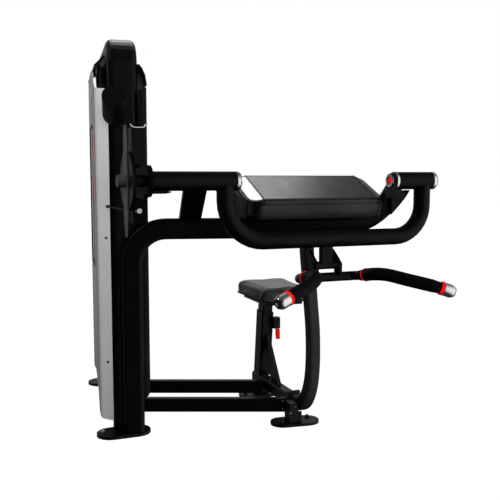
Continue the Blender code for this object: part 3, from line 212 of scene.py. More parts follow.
def voronoi(m, scale, feature="F1", out="Distance"):
    nt = m.node_tree
    v = nt.nodes.new("ShaderNodeTexVoronoi")
    v.feature = feature
    v.inputs["Scale"].default_value = scale
    nt.links.new(coords(m), v.inputs["Vector"])
    return v.outputs[out]


bump(GRIP, voronoi(GRIP, 420.0), 0.22, 0.0005)

# upholstery vinyl: pebble grain over a soft unevenness
VINYL = material("upholstery_vinyl", (0.0085, 0.0085, 0.0083), 0.30, coat=0.25, coat_rough=0.26, sheen=0.0)
vary_colour(VINYL, noise(VINYL, 9.0, 3.0), (0.0070, 0.0070, 0.0070), (0.0115, 0.0113, 0.0110))
vary_rough(VINYL, noise(VINYL, 22.0, 4.0), 0.27, 0.36)
bump(VINYL, noise(VINYL, 26.0, 3.0), 0.10, 0.0016)
bump(VINYL, voronoi(VINYL, 620.0), 0.16, 0.0004)

THREAD = material("seam_thread", (0.010, 0.010, 0.010), 0.7)
vary_colour(THREAD, noise(THREAD, 800.0, 2.0), (0.006, 0.006, 0.006), (0.016, 0.016, 0.016))
bump(THREAD, noise(THREAD, 1500.0, 2.0), 0.3, 0.0003)

RED = material("red_moulded", (0.80, 0.010, 0.009), 0.42, spec=0.03)
vary_colour(RED, noise(RED, 30.0, 3.0), (0.74, 0.008, 0.007), (0.84, 0.012, 0.010))
vary_rough(RED, noise(RED, 90.0, 3.0), 0.28, 0.38)
bump(RED, noise(RED, 700.0, 2.0), 0.06, 0.0003)

BELT = material("belt_weave", (0.012, 0.012, 0.012), 0.65)
vary_colour(BELT, noise(BELT, 200.0, 4.0), (0.008, 0.008, 0.008), (0.018, 0.018, 0.018))


def wave(m, scale, direction, distortion=0.0):
    nt = m.node_tree
    w = nt.nodes.new("ShaderNodeTexWave")
    w.wave_type = "BANDS"
    w.bands_direction = direction
    w.inputs["Scale"].default_value = scale
    w.inputs["Distortion"].default_value = distortion
    nt.links.new(coords(m), w.inputs["Vector"])
    return w.outputs["Fac"]


bump(BELT, wave(BELT, 260.0, "DIAGONAL"), 0.4, 0.0004)

NYLON = material("nylon_black", (0.0060, 0.0060, 0.0060), 0.42, spec=0.25)
vary_rough(NYLON, noise(NYLON, 60.0, 3.0), 0.36, 0.50)
bump(NYLON, noise(NYLON, 500.0, 2.0), 0.08, 0.0003)

# cam: near-black colour, painted shade over its grey paint. Lever: grey paint outside, black block inside, told apart
# by place
CAM_PAINTED_SHADE = material("cam_dark_paint", (0.0034, 0.0034, 0.0034), 0.42, spec=0.12)
vary_colour(CAM_PAINTED_SHADE, noise(CAM_PAINTED_SHADE, 8.0, 3.0), (0.0028, 0.0028, 0.0028), (0.0042, 0.0042, 0.0041))
vary_rough(CAM_PAINTED_SHADE, noise(CAM_PAINTED_SHADE, 50.0, 4.0), 0.38, 0.50)
bump(CAM_PAINTED_SHADE, noise(CAM_PAINTED_SHADE, 500.0, 2.0), 0.08, 0.0003)

LEVER = material("lever_two_tone", (0.10, 0.10, 0.098), 0.42, spec=0.12)


def lever_colours(m, split_x):
    nt = m.node_tree
    sep = nt.nodes.new("ShaderNodeSeparateXYZ")
    nt.links.new(coords(m), sep.inputs["Vector"])
    gt = nt.nodes.new("ShaderNodeMath")
    gt.operation = "GREATER_THAN"
    gt.inputs[1].default_value = split_x
    nt.links.new(sep.outputs["X"], gt.inputs[0])
    r = nt.nodes.new("ShaderNodeValToRGB")
    r.color_ramp.elements[0].color = (0.115, 0.115, 0.112, 1.0)
    r.color_ramp.elements[1].color = (0.0034, 0.0034, 0.0034, 1.0)
    nt.links.new(gt.outputs["Value"], r.inputs["Fac"])
    mx = nt.nodes.new("ShaderNodeMix")
    mx.data_type = "RGBA"
    mx.blend_type = "MULTIPLY"
    mx.inputs["Factor"].default_value = 0.35
    nt.links.new(r.outputs["Color"], mx.inputs[6])
    nz = nt.nodes.new("ShaderNodeTexNoise")
    nz.inputs["Scale"].default_value = 30.0
    nt.links.new(coords(m), nz.inputs["Vector"])
    nt.links.new(nz.outputs["Fac"], mx.inputs[7])
    nt.links.new(mx.outputs[2], nt.nodes["Principled BSDF"].inputs["Base Color"])


lever_colours(LEVER, OFF.x - 0.2895)
vary_rough(LEVER, noise(LEVER, 50.0, 4.0), 0.40, 0.52)
bump(LEVER, noise(LEVER, 500.0, 2.0), 0.08, 0.0003)

TRIM = material("edge_trim_rubber", (0.0040, 0.0040, 0.0040), 0.6, spec=0.15)
vary_rough(TRIM, noise(TRIM, 80.0, 3.0), 0.5, 0.62)
bump(TRIM, noise(TRIM, 900.0, 2.0), 0.1, 0.0003)

LABEL = material("printed_strip", (0.62, 0.62, 0.61), 0.35)
vary_colour(LABEL, noise(LABEL, 14.0, 2.0), (0.58, 0.58, 0.57), (0.66, 0.66, 0.65))
vary_rough(LABEL, noise(LABEL, 120.0, 3.0), 0.3, 0.42)

WELD = material("weld_bead_black", (0.0030, 0.0030, 0.0031), 0.38, spec=0.2)
vary_rough(WELD, noise(WELD, 120.0, 3.0), 0.32, 0.46)
bump(WELD, noise(WELD, 500.0, 3.0), 0.2, 0.0005)

BY_SLOT = {
    "frame_black": POWDER, "shroud_silver": SILVER, "cover_grey": COVER, "plate_black": CAST, "chrome": CHROME,
    "rubber_black": RUBBER, "pad_black": VINYL, "red_plastic": RED, "belt_black": BELT, "pulley_plastic": NYLON,
    "cam_grey": CAM_PAINTED_SHADE,
}
for sp in frame["record"]["subparts"]:
    ob = NODES[sp["node"]]
    m = BY_SLOT[sp["material_slot"]]
    if sp["node"].startswith("grip_"):
        m = GRIP
    if sp["node"] == "counterweight_lever":
        m = LEVER
    if sp["node"] == "start_pin":
        m = ZINC
    if sp["node"] == "pivot_carrier":
        m = MATT
    for s in ob.material_slots:
        s.link = "OBJECT"
        s.material = m

# ------------------------------------------------------------- mesh making tools


def piece(name, bm, mat_, body, smooth=35.0, bevel=None, subdiv=0):
    bmesh.ops.remove_doubles(bm, verts=bm.verts, dist=1e-6)
    bmesh.ops.recalc_face_normals(bm, faces=bm.faces)
    me = bpy.data.meshes.new(name)
    bm.to_mesh(me)
    bm.free()
    me.shade_smooth()
    me.set_sharp_from_angle(angle=math.radians(smooth))
    ob = bpy.data.objects.new(name, me)
    bpy.context.scene.collection.objects.link(ob)
    me.materials.append(mat_)
    if bevel:
        mod = ob.modifiers.new("edge", "BEVEL")
        mod.width = bevel
        mod.segments = 2
        mod.limit_method = "ANGLE"
        mod.angle_limit = math.radians(40)
    if subdiv:
        mod = ob.modifiers.new("smooth", "SUBSURF")
        mod.levels = subdiv
        mod.render_levels = subdiv
    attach(ob, body)
    return ob


def basis(axis):
    axis = Vector(axis).normalized()
    u = axis.orthogonal().normalized() if abs(axis.z) > 0.95 else UP.cross(axis).normalized()
    return u, axis.cross(u), axis


def add_turned(bm, at, axis, rings, n=32, close=True):
    """rings: (position along the axis, radius)."""
    u, v, w = basis(axis)
    at = Vector(at)
    cols = []
    for s, r in rings:
        if r < 1e-5:
            cols.append([bm.verts.new(at + w * s)])
        else:
            cols.append([bm.verts.new(at + w * s + (u * math.cos(2 * math.pi * i / n) + v * math.sin(2 * math.pi * i / n)) * r) for i in range(n)])
    for a, b in zip(cols, cols[1:]):
        for i in range(n):
            j = (i + 1) % n
            if len(a) == 1 and len(b) == 1:
                continue
            if len(a) == 1:
                bm.faces.new((a[0], b[j], b[i]))
            elif len(b) == 1:
                bm.faces.new((a[i], a[j], b[0]))
            else:
                bm.faces.new((a[i], a[j], b[j], b[i]))
    if close:
        for c in (cols[0], cols[-1]):
            if len(c) > 1:
                bm.faces.new(c)
    else:
        a, b = cols[-1], cols[0]
        for i in range(n):
            j = (i + 1) % n
            bm.faces.new((a[i], a[j], b[j], b[i]))


def add_hex_bolt(bm, at, axis, r, turn=0.3, washer=True):
    """Washer, chamfered hexagon head with a slightly domed top."""
    u, v, w = basis(axis)
    at = Vector(at)
    if washer:
        add_turned(bm, at, axis, [(0.0, r * 1.45), (r * 0.16, r * 1.45), (r * 0.24, r * 1.36), (r * 0.24, r * 0.9)], 28)
    base = r * 0.22 if washer else 0.0
    rings = []
    for s, k in ((base, 1.0), (base + r * 0.62, 1.0), (base + r * 0.78, 0.90), (base + r * 0.80, 0.70)):
        ring = []
        for i in range(6):
            a = turn + math.pi * i / 3
            ring.append(bm.verts.new(at + w * s + (u * math.cos(a) + v * math.sin(a)) * r * k))
        rings.append(ring)
    for a, b in zip(rings, rings[1:]):
        for i in range(6):
            j = (i + 1) % 6
            bm.faces.new((a[i], a[j], b[j], b[i]))
    bm.faces.new(rings[-1])
    bm.faces.new(rings[0])


def add_button_screw(bm, at, axis, r, turn=0.2):
    """Round button head with a round socket recess."""
    u, v, w = basis(axis)
    at = Vector(at)
    add_turned(bm, at, axis, [(0.0, r * 0.9), (0.0, r), (r * 0.12, r), (r * 0.38, r * 0.86), (r * 0.52, r * 0.62), (r * 0.55, r * 0.50), (r * 0.50, r * 0.44), (r * 0.22, r * 0.40), (r * 0.20, 0.0)], 24)


def add_tube(bm, path, r, n=10, closed=False):
    path = [Vector(p) for p in path]
    m = len(path)
    rings = []
    v = None
    for i in range(m):
        if closed:
            a, b = path[i] - path[i - 1], path[(i + 1) % m] - path[i]
        else:
            a = path[i] - path[i - 1] if i else path[1] - path[0]
            b = path[i + 1] - path[i] if i < m - 1 else path[-1] - path[-2]
        t = (a.normalized() + b.normalized()).normalized()
        v = t.orthogonal().normalized() if v is None else (v - t * v.dot(t)).normalized()
        w = v.cross(t).normalized()
        rr = r(i) if callable(r) else r
        rings.append([bm.verts.new(path[i] + (w * math.cos(2 * math.pi * k / n) + v * math.sin(2 * math.pi * k / n)) * rr) for k in range(n)])
    for i in range(m if closed else m - 1):
        a, b = rings[i], rings[(i + 1) % m]
        # line up the seam of a closed tube
        off = 0
        if closed and i == m - 1:
            off = min(range(n), key=lambda o: (a[0].co - b[o].co).length)
        for k in range(n):
            bm.faces.new((a[k], a[(k + 1) % n], b[(k + 1 + off) % n], b[(k + off) % n]))
    if not closed:
        bm.faces.new(rings[0])
        bm.faces.new(rings[-1])


def add_prism(bm, pts, direction):
    """pts in space, in one plane, pushed along direction."""
    a = [bm.verts.new(Vector(p)) for p in pts]
    b = [bm.verts.new(Vector(p) + Vector(direction)) for p in pts]
    k = len(a)
    bm.faces.new(a)
    bm.faces.new(b)
    for i in range(k):
        bm.faces.new((a[i], a[(i + 1) % k], b[(i + 1) % k], b[i]))


def add_box(bm, centre, u, v, w, hu, hv, hw):
    c = Vector(centre)
    u, v, w = Vector(u) * hu, Vector(v) * hv, Vector(w) * hw
    add_prism(bm, [c - u - v - w, c + u - v - w, c + u + v - w, c - u + v - w], w * 2)


def catmull(points, per):
    p = [Vector(q) for q in points]
    p = [p[0] * 2 - p[1]] + p + [p[-1] * 2 - p[-2]]
    out = []
    for i in range(1, len(p) - 2):
        for k in range(per):
            t = k / per
            a, b, c, d = p[i - 1], p[i], p[i + 1], p[i + 2]
            out.append(0.5 * ((2 * b) + (c - a) * t + (2 * a - 5 * b + 4 * c - d) * t * t + (3 * b - a - 3 * c + d) * t ** 3))
    out.append(p[-2])
    return out


def bead(bm, path, r=0.0024, closed=True, step=0.0042):
    """Weld bead: a lumpy tube, its ripples about step apart."""
    pts = [Vector(p) for p in path]
    if closed:
        pts.append(pts[0])
    fine = []
    for a, b in zip(pts, pts[1:]):
        n = max(1, int((b - a).length / (step / 2)))
        for k in range(n):
            fine.append(a.lerp(b, k / n))
    if not closed:
        fine.append(pts[-1])
    add_tube(bm, fine, lambda i: r * (1.0 + (0.16 if i % 2 else -0.10)), 8, closed)


# ------------------------------------------------------------- padded upholstery


def swollen(name, bm, pinned, cap, limit, voxel, body, node, pressure=4.0, extra_pull=None):
    """Foam cushion: remeshed form blown up a little by a cloth simulation, the
    seams and the base held. limit(p) scales how far a point may move."""
    bmesh.ops.remove_doubles(bm, verts=bm.verts, dist=1e-6)
    bmesh.ops.recalc_face_normals(bm, faces=bm.faces)
    me = bpy.data.meshes.new(name)
    bm.to_mesh(me)
    bm.free()
    ob = bpy.data.objects.new(name, me)
    bpy.context.scene.collection.objects.link(ob)
    rm = ob.modifiers.new("Remesh", "REMESH")
    rm.mode = "VOXEL"
    rm.voxel_size = voxel
    dg = bpy.context.evaluated_depsgraph_get()
    new = bpy.data.meshes.new_from_object(ob.evaluated_get(dg))
    ob.modifiers.clear()
    ob.data = new
    new.name = name
    sm = ob.modifiers.new("Smooth", "SMOOTH")
    sm.factor = 0.5
    sm.iterations = 2
    dg = bpy.context.evaluated_depsgraph_get()
    new = bpy.data.meshes.new_from_object(ob.evaluated_get(dg))
    ob.modifiers.clear()
    ob.data = new
    rest = [v.co.copy() for v in new.vertices]
    g = ob.vertex_groups.new(name="held")
    for i, p in enumerate(rest):
        w = pinned(p)
        if w > 0.0:
            g.add([i], w, "REPLACE")
    cl = ob.modifiers.new("Cloth", "CLOTH")
    s = cl.settings
    s.quality = 4
    s.mass = 0.25
    s.tension_stiffness = 18
    s.compression_stiffness = 18
    s.shear_stiffness = 8
    s.bending_stiffness = 1.2
    s.use_pressure = True
    s.uniform_pressure_force = pressure
    s.effector_weights.gravity = 0.0
    s.vertex_group_mass = "held"
    cl.collision_settings.use_collision = False
    cl.point_cache.frame_start = 1
    cl.point_cache.frame_end = 20
    sc = bpy.context.scene
    for f in range(1, 21):
        sc.frame_set(f)
    dg = bpy.context.evaluated_depsgraph_get()
    ev = ob.evaluated_get(dg)
    moved = [v.co.copy() for v in ev.data.vertices]
    ob.modifiers.clear()
    ob.vertex_groups.clear()
    sc.frame_set(1)
    for i, v in enumerate(new.vertices):
        d = moved[i] - rest[i]
        top = cap * limit(rest[i])
        if d.length > top:
            d = d.normalized() * top
        v.co = rest[i] + d
    if extra_pull:
        for v in new.vertices:
            v.co = extra_pull(v.co)
    new.update()
    new.shade_smooth()
    new.materials.clear()
    new.materials.append(VINYL)
    sm = ob.modifiers.new("Smooth", "CORRECTIVE_SMOOTH")
    sm.iterations = 3
    sm.use_only_smooth = True
    sub = ob.modifiers.new("Sub", "SUBSURF")
    sub.levels = 1
    sub.render_levels = 1
    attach(ob, body)
    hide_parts(node)
    return ob


def smoothstep(a, b, x):
    t = max(0.0, min(1.0, (x - a) / (b - a)))
    return t * t * (3 - 2 * t)


# The arm pad, in its own axes: x along the machine, y up the slope, h out of it
TILT = math.atan2(0.084, 0.187)
PAD_UP = Vector((0.0, -math.sin(TILT), math.cos(TILT)))
PAD_BACK = Vector((0.0, math.cos(TILT), math.sin(TILT)))
PAD_C = A(0.455, 0.1405, 0.963)
PAD_HALF, PAD_SEAM, PAD_DROP, PAD_T = 0.288, 0.238, 0.019, 0.060
PAD_Y0, PAD_Y1, PAD_CORNER = -0.108, 0.110, 0.050


def pad_at(x, y, h):
    return PAD_C + Vector((1, 0, 0)) * x + PAD_BACK * y + PAD_UP * h


def pad_local(p):
    d = p - PAD_C
    return d.x, d.dot(PAD_BACK), d.dot(PAD_UP)


def side_drop(x):
    return PAD_DROP * max(0.0, (abs(x) - PAD_SEAM) / (PAD_HALF - PAD_SEAM))


def pad_outline(inset, near_seg=9):
    pts = []
    for k in range(near_seg + 1):
        a = math.radians(180 + 90 * k / near_seg)
        pts.append((-PAD_HALF + PAD_CORNER + (PAD_CORNER - inset) * math.cos(a), PAD_Y0 + PAD_CORNER + (PAD_CORNER - inset) * math.sin(a)))
    for k in range(near_seg + 1):
        a = math.radians(270 + 90 * k / near_seg)
        pts.append((PAD_HALF - PAD_CORNER + (PAD_CORNER - inset) * math.cos(a), PAD_Y0 + PAD_CORNER + (PAD_CORNER - inset) * math.sin(a)))
    for k in range(4):
        a = math.radians(90 * k / 3)
        pts.append((PAD_HALF - 0.015 + (0.015 - inset) * math.cos(a), PAD_Y1 - 0.015 + (0.015 - inset) * math.sin(a)))
    pts += [(PAD_SEAM, PAD_Y1 - inset), (-PAD_SEAM, PAD_Y1 - inset)]
    for k in range(4):
        a = math.radians(90 + 90 * k / 3)
        pts.append((-PAD_HALF + 0.015 + (0.015 - inset) * math.cos(a), PAD_Y1 - 0.015 + (0.015 - inset) * math.sin(a)))
    return pts


bm = bmesh.new()
rings = []
for inset, h, follow in ((0.006, -PAD_T + 0.0006, 0.0), (0.0015, -PAD_T + 0.006, 0.0), (0.0015, -0.0045, 1.0), (0.0040, -0.0012, 1.0)):
    rings.append([bm.verts.new(pad_at(x, y, h - follow * side_drop(x))) for x, y in pad_outline(inset)])
k = len(rings[0])
for i in range(len(rings) - 1):
    for j in range(k):
        bm.faces.new((rings[i][j], rings[i][(j + 1) % k], rings[i + 1][(j + 1) % k], rings[i + 1][j]))
bm.faces.new(rings[0])
tp = rings[-1]
# the middle panel and the two side panels meet on the seams
n0 = 10                     # near-left arc has n0 points, then near-right n0
bm.faces.new(tp[0:n0] + tp[2 * n0 + 5:2 * n0 + 10])
bm.faces.new([tp[n0 - 1], tp[n0], tp[2 * n0 + 4], tp[2 * n0 + 5]])
bm.faces.new(tp[n0:2 * n0 + 5])


def pad_pin(p):
    x, y, h = pad_local(p)
    if h < -PAD_T + 0.010:
        return 1.0
    d = abs(abs(x) - PAD_SEAM)
    if h > -0.03 - side_drop(x) and d < 0.0035:
        return 1.0
    if abs(h + side_drop(x) + 0.004) < 0.003:
        return 0.8
    return 0.0


def pad_limit(p):
    x, y, h = pad_local(p)
    d = abs(abs(x) - PAD_SEAM)
    return 0.15 + 0.85 * smoothstep(0.002, 0.030, d)


def pad_pull(p):
    """Seams: two narrow valleys down the top."""
    x, y, h = pad_local(p)
    q = p.copy()
    if h > -0.012 - side_drop(x):
        d = abs(abs(x) - PAD_SEAM)
        q -= PAD_UP * 0.0016 * max(0.0, 1.0 - d / 0.005) ** 0.8 if d < 0.005 else PAD_UP * 0.0
    return q


arm_pad = swollen("arm_pad_cushion", bm, pad_pin, 0.0026, pad_limit, 0.004, "frame", "arm_pad", 4.0, pad_pull)

# piping in the seams and round the top edge, with a row of stitches beside it
bm = bmesh.new()
for s in (-1, 1):
    path = [pad_at(s * PAD_SEAM, PAD_Y0 + 0.0015 + (PAD_Y1 - PAD_Y0 - 0.003) * i / 24, -0.0008) for i in range(25)]
    path = [pad_at(s * PAD_SEAM, PAD_Y0 + 0.0008, -0.030), pad_at(s * PAD_SEAM, PAD_Y0 + 0.0006, -0.006), pad_at(s * PAD_SEAM, PAD_Y0 + 0.0020, -0.0012)] + path[1:]
    add_tube(bm, path, 0.0012, 8)
edge = []
for x, y in pad_outline(0.0006, 12):
    edge.append(pad_at(x, y, -0.0040 - side_drop(x)))
dense = []
for a, b in zip(edge, edge[1:] + edge[:1]):
    nn = max(1, int((b - a).length / 0.02))
    dense += [a.lerp(b, k / nn) for k in range(nn)]
add_tube(bm, dense, 0.0017, 8, True)
piece("arm_pad_piping", bm, TRIM, "frame", 60)


def stitch(bm, a, b, r=0.00045):
    a, b = Vector(a), Vector(b)
    add_tube(bm, [a, a.lerp(b, 0.2), a.lerp(b, 0.8), b], lambda i: r * (0.45 if i in (0, 3) else 1.0), 6)


bm = bmesh.new()
for s in (-1, 1):
    n = 40
    for i in range(n):
        y0 = PAD_Y0 + 0.012 + (PAD_Y1 - PAD_Y0 - 0.024) * i / n
        y1 = y0 + 0.0033
        for off in (-0.0042,):
            x = s * (PAD_SEAM + off)
            stitch(bm, pad_at(x, y0, 0.0004), pad_at(x, y1, 0.0004))
piece("arm_pad_stitches", bm, THREAD, "frame", 60)

# wrapped side band round the near side, a little steeper than the cushion, that hangs below it
bm = bmesh.new()
outer, inner = pad_outline(-0.0012, 12), pad_outline(0.0030, 12)
keep = [i for i in range(26) if outer[i][1] < -0.020]
path_o = [(-PAD_HALF - 0.0012, 0.020)] + [outer[i] for i in keep] + [(PAD_HALF + 0.0012, 0.020)]
path_i = [(-PAD_HALF + 0.0030, 0.020)] + [inner[i] for i in keep] + [(PAD_HALF - 0.0030, 0.020)]
TOP_H = -0.0240
STEEP = Vector((0.0, 0.0148, -0.0462))
rings = []
for po, pi_ in zip(path_o, path_i):
    top_o, top_i = pad_at(po[0], po[1], TOP_H), pad_at(pi_[0], pi_[1], TOP_H)
    low_i = pad_at(pi_[0], pi_[1], -PAD_T - 0.0100)
    mid = top_o.lerp(top_i, 0.5)
    rings.append([bm.verts.new(top_i), bm.verts.new(mid + PAD_UP * 0.0010), bm.verts.new(top_o), bm.verts.new(top_o + STEEP),
                  bm.verts.new(top_o + STEEP * 1.02 + (low_i - top_o - STEEP) * 0.25), bm.verts.new(low_i)])
for a, b in zip(rings, rings[1:]):
    for i in range(6):
        j = (i + 1) % 6
        bm.faces.new((a[i], a[j], b[j], b[i]))
bm.faces.new(rings[0])
bm.faces.new(rings[-1])
piece("arm_pad_base", bm, VINYL, "frame", 40)

# ------------------------------------------------------------------ the seat pad
SEAT_X, SEAT_Y0, SEAT_Y1, SEAT_TOP = 0.455, 0.332, 0.680, 0.530
SEAT_C = A(SEAT_X, (SEAT_Y0 + SEAT_Y1) / 2, 0.0)


def seat_outline(inset, seg=8):
    pts = []
    for cx, cy, a0 in ((0.074, SEAT_Y1 - 0.050, 0), (-0.074, SEAT_Y1 - 0.050, 90), (-0.062, SEAT_Y0 + 0.050, 180), (0.062, SEAT_Y0 + 0.050, 270)):
        for i in range(seg + 1):
            a = math.radians(a0 + 90 * i / seg)
            pts.append((cx + (0.050 - inset) * math.cos(a), cy - (SEAT_Y0 + SEAT_Y1) / 2 + (0.050 - inset) * math.sin(a)))
    return pts


bm = bmesh.new()
rings = []
for z, ins in ((0.4770, 0.0070), (0.4835, 0.0025), (SEAT_TOP - 0.012, 0.0016), (SEAT_TOP - 0.004, 0.0036), (SEAT_TOP + 0.0010, 0.0090), (SEAT_TOP + 0.0032, 0.0200)):
    rings.append([bm.verts.new(SEAT_C + Vector((x, y, z))) for x, y in seat_outline(ins)])
k = len(rings[0])
for i in range(len(rings) - 1):
    for j in range(k):
        bm.faces.new((rings[i][j], rings[i][(j + 1) % k], rings[i + 1][(j + 1) % k], rings[i + 1][j]))
bm.faces.new(rings[0])
bm.faces.new(rings[-1])


def seat_pin(p):
    return 1.0 if p.z < 0.4830 else 0.0


def seat_limit(p):
    return smoothstep(0.4780, 0.5050, p.z)


seat_pad = swollen("seat_cushion", bm, seat_pin, 0.0045, seat_limit, 0.005, "seat", "seat_pad", 4.0)
bm = bmesh.new()
low = [SEAT_C + Vector((x, y, 0.4835)) for x, y in seat_outline(0.0022)]
dense = []
for a, b in zip(low, low[1:] + low[:1]):
    nn = max(1, int((b - a).length / 0.015))
    dense += [a.lerp(b, k / nn) for k in range(nn)]
add_tube(bm, dense, 0.0016, 8, True)
piece("seat_piping", bm, TRIM, "seat", 60)

# --------------------------------------------------------- handle collars, ends
BZ = 0.628
HALF = [(0.100, 0.0, BZ), (0.116, -0.012, BZ + 0.002), (0.122, -0.047, BZ + 0.007), (0.124, -0.120, BZ + 0.020),
        (0.130, -0.172, BZ + 0.026), (0.150, -0.208, BZ + 0.024), (0.185, -0.240, BZ + 0.014), (0.235, -0.274, BZ + 0.001), (0.290, -0.304, BZ - 0.014),
        (0.337, -0.3182, BZ - 0.0305)]
GRIP_R = 0.0235


def handle_pt(s, p):
    return A(0.4475 + s * p[0], p[1], p[2])


for s, side in ((1, "right"), (-1, "left")):
    path = catmull([handle_pt(s, p) for p in HALF], 2)
    end, knee = path[-1], path[-3]
    d = (end - knee).normalized()
    # outer collar: two red rings with a groove, right after the grip
    bm = bmesh.new()
    add_turned(bm, knee, d, [(-0.0010, 0.0180), (-0.0010, GRIP_R - 0.0010), (0.0000, GRIP_R + 0.0012), (0.0032, GRIP_R + 0.0014), (0.0042, GRIP_R + 0.0004),
                             (0.0048, GRIP_R + 0.0004), (0.0058, GRIP_R + 0.0014), (0.0088, GRIP_R + 0.0012), (0.0100, GRIP_R - 0.0006), (0.0100, 0.0180)], 40, close=False)
    piece(f"outer_collar_{side}", bm, RED, "handle", 40)
    # polished end sleeve with a plug
    L = (end - knee).length
    bm = bmesh.new()
    add_turned(bm, knee, d, [(0.0100, 0.0180), (0.0100, GRIP_R - 0.0006), (0.0108, GRIP_R + 0.0002), (L - 0.0130, GRIP_R + 0.0002), (L - 0.0100, GRIP_R - 0.0006),
                             (L - 0.0030, 0.0190), (L - 0.0018, 0.0178), (L - 0.0018, 0.0165)], 48, close=False)
    piece(f"end_sleeve_{side}", bm, CHROME, "handle", 30)
    bm = bmesh.new()
    add_turned(bm, knee, d, [(L - 0.004, 0.0168), (L + 0.0008, 0.0168), (L + 0.0016, 0.0155), (L + 0.0016, 0.0085), (L + 0.0004, 0.0075), (L + 0.0004, 0.0)], 40)
    piece(f"end_plug_{side}", bm, NYLON, "handle", 30)
    bm = bmesh.new()
    add_turned(bm, knee, d, [(L + 0.0002, 0.0072), (L + 0.0030, 0.0072), (L + 0.0044, 0.0058), (L + 0.0052, 0.0)], 24)
    piece(f"end_screw_{side}", bm, CHROME, "handle", 30)
    # inner collar at the start of the grip
    a, b = path[5], path[6]
    di = (b - a).normalized()
    bm = bmesh.new()
    add_turned(bm, a - di * 0.0045, di, [(0.0, GRIP_R - 0.0030), (0.0, GRIP_R + 0.0002), (0.0008, GRIP_R + 0.0010), (0.0040, GRIP_R + 0.0012), (0.0050, GRIP_R + 0.0002), (0.0050, GRIP_R - 0.0030)], 40, close=False)
    piece(f"inner_collar_{side}", bm, RED, "handle", 40)

# --------------------------------------------------- pivot line: rings and caps
bm = bmesh.new()
add_turned(bm, A(0.7290, 0, PIVOT_Z), (1, 0, 0), [(0.0, 0.0300), (0.0006, 0.0340), (0.0018, 0.0350), (0.0105, 0.0350), (0.0120, 0.0338), (0.0120, 0.0300)], 56, close=False)
piece("hub_ring_right", bm, CHROME, "arm", 30)
# face ring and red cap on the fixed bearing, seen past the pad's end
bm = bmesh.new()
add_turned(bm, A(0.7165, 0, PIVOT_Z), (-1, 0, 0), [(-0.0005, 0.0200), (-0.0005, 0.0262), (0.0030, 0.0262), (0.0046, 0.0246), (0.0046, 0.0170), (0.0020, 0.0150), (-0.0005, 0.0150)], 48, close=False)
piece("bearing_face_ring", bm, ZINC, "frame", 30)
bm = bmesh.new()
add_turned(bm, A(0.7165, 0, PIVOT_Z), (-1, 0, 0), [(-0.0040, 0.0130), (0.0016, 0.0130), (0.0026, 0.0120), (0.0030, 0.0090), (0.0031, 0.0)], 40)
piece("bearing_red_cap", bm, RED, "frame", 30)

# ------------------------------------------------------- fasteners and fittings
FRONT = -YT                                   # out of the tower's near wall


def screw(bm, at, axis, r):
    add_button_screw(bm, at, axis, r, 0.2)


bm = bmesh.new()
for at in (T(-0.054, 0.0100, 0.769), T(-0.056, 0.0100, 0.287), T(0.0887, 0.0060, 1.2414), T(0.0868, 0.0060, 0.2948)):
    screw(bm, at, FRONT, 0.0052)
for z in (0.34, 0.80, 1.26):
    for yt in (0.14, 0.66):
        screw(bm, T(0.1108 if yt < 0.5 else 0.1104, yt, z), XT, 0.0050)
piece("cover_screws", bm, OXIDE, "frame", 40)

bm = bmesh.new()
add_hex_bolt(bm, A(-0.328, 0.372, 0.0121), UP, 0.0085, 0.2)
piece("near_foot_bolt", bm, ZINC, "frame", 30)
bm = bmesh.new()
for at in (A(0.3827, 0.2497, 0.0893), A(0.3828, 0.2496, 0.0565)):
    add_hex_bolt(bm, at, (-0.3665, -0.9304, 0.0), 0.0040, 0.1, False)
for at in (A(0.390, 0.1870, 0.0546), A(0.4130, 0.1870, 0.0800)):
    add_button_screw(bm, at, (0, -1, 0), 0.0038)
piece("beam_bolts", bm, ZINC, "frame", 30)
bm = bmesh.new()
for at in (A(0.360, 0.2050, 0.0121), A(0.490, 0.2420, 0.0121), A(0.372, 0.640, 0.0121), A(0.524, 0.640, 0.0121)):
    add_hex_bolt(bm, at, UP, 0.0085, 0.4)
piece("foot_bolts", bm, OXIDE, "frame", 30)

# spring clip across the counterweight's top
bm = bmesh.new()
clip = [A(-0.2905, -0.0325, PIVOT_Z + 0.1860), A(-0.2870, -0.0330, PIVOT_Z + 0.1800), A(-0.2800, -0.0332, PIVOT_Z + 0.1765), A(-0.2650, -0.0332, PIVOT_Z + 0.1755),
        A(-0.2500, -0.0332, PIVOT_Z + 0.1765), A(-0.2430, -0.0330, PIVOT_Z + 0.1800), A(-0.2395, -0.0325, PIVOT_Z + 0.1860)]
add_tube(bm, catmull(clip, 4), 0.0026, 10)
piece("counterweight_clip", bm, CHROME, "arm", 50)

# grey cap on the shaft's outer end, black spacer between lever and bearing
bm = bmesh.new()
add_turned(bm, A(-0.3279, 0, PIVOT_Z), (-1, 0, 0), [(0.0, 0.0206), (0.0020, 0.0206), (0.0034, 0.0192), (0.0034, 0.0080), (0.0026, 0.0070), (0.0026, 0.0)], 36)
piece("shaft_end_cap", bm, LEVER, "arm", 30)
bm = bmesh.new()
add_turned(bm, A(-0.2447, 0, PIVOT_Z), (1, 0, 0), [(0.0, 0.0152), (0.0, 0.0185), (0.0010, 0.0192), (0.0150, 0.0192), (0.0160, 0.0185), (0.0160, 0.0152)], 36, close=False)
piece("shaft_spacer", bm, POWDER, "arm", 30)

# blank oval plaque and two colour bars on the shroud


def shroud_x(yt):
    k = ((0.020, -0.0900), (0.090, -0.0888), (0.250, -0.0865), (0.500, -0.0825), (0.700, -0.0770), (0.768, -0.0745))
    for (a, xa), (b, xb) in zip(k, k[1:]):
        if yt <= b:
            return xa + (xb - xa) * (yt - a) / (b - a)
    return k[-1][1]


def on_shroud(yt, z, lift):
    return T(shroud_x(yt) - lift, yt, z)


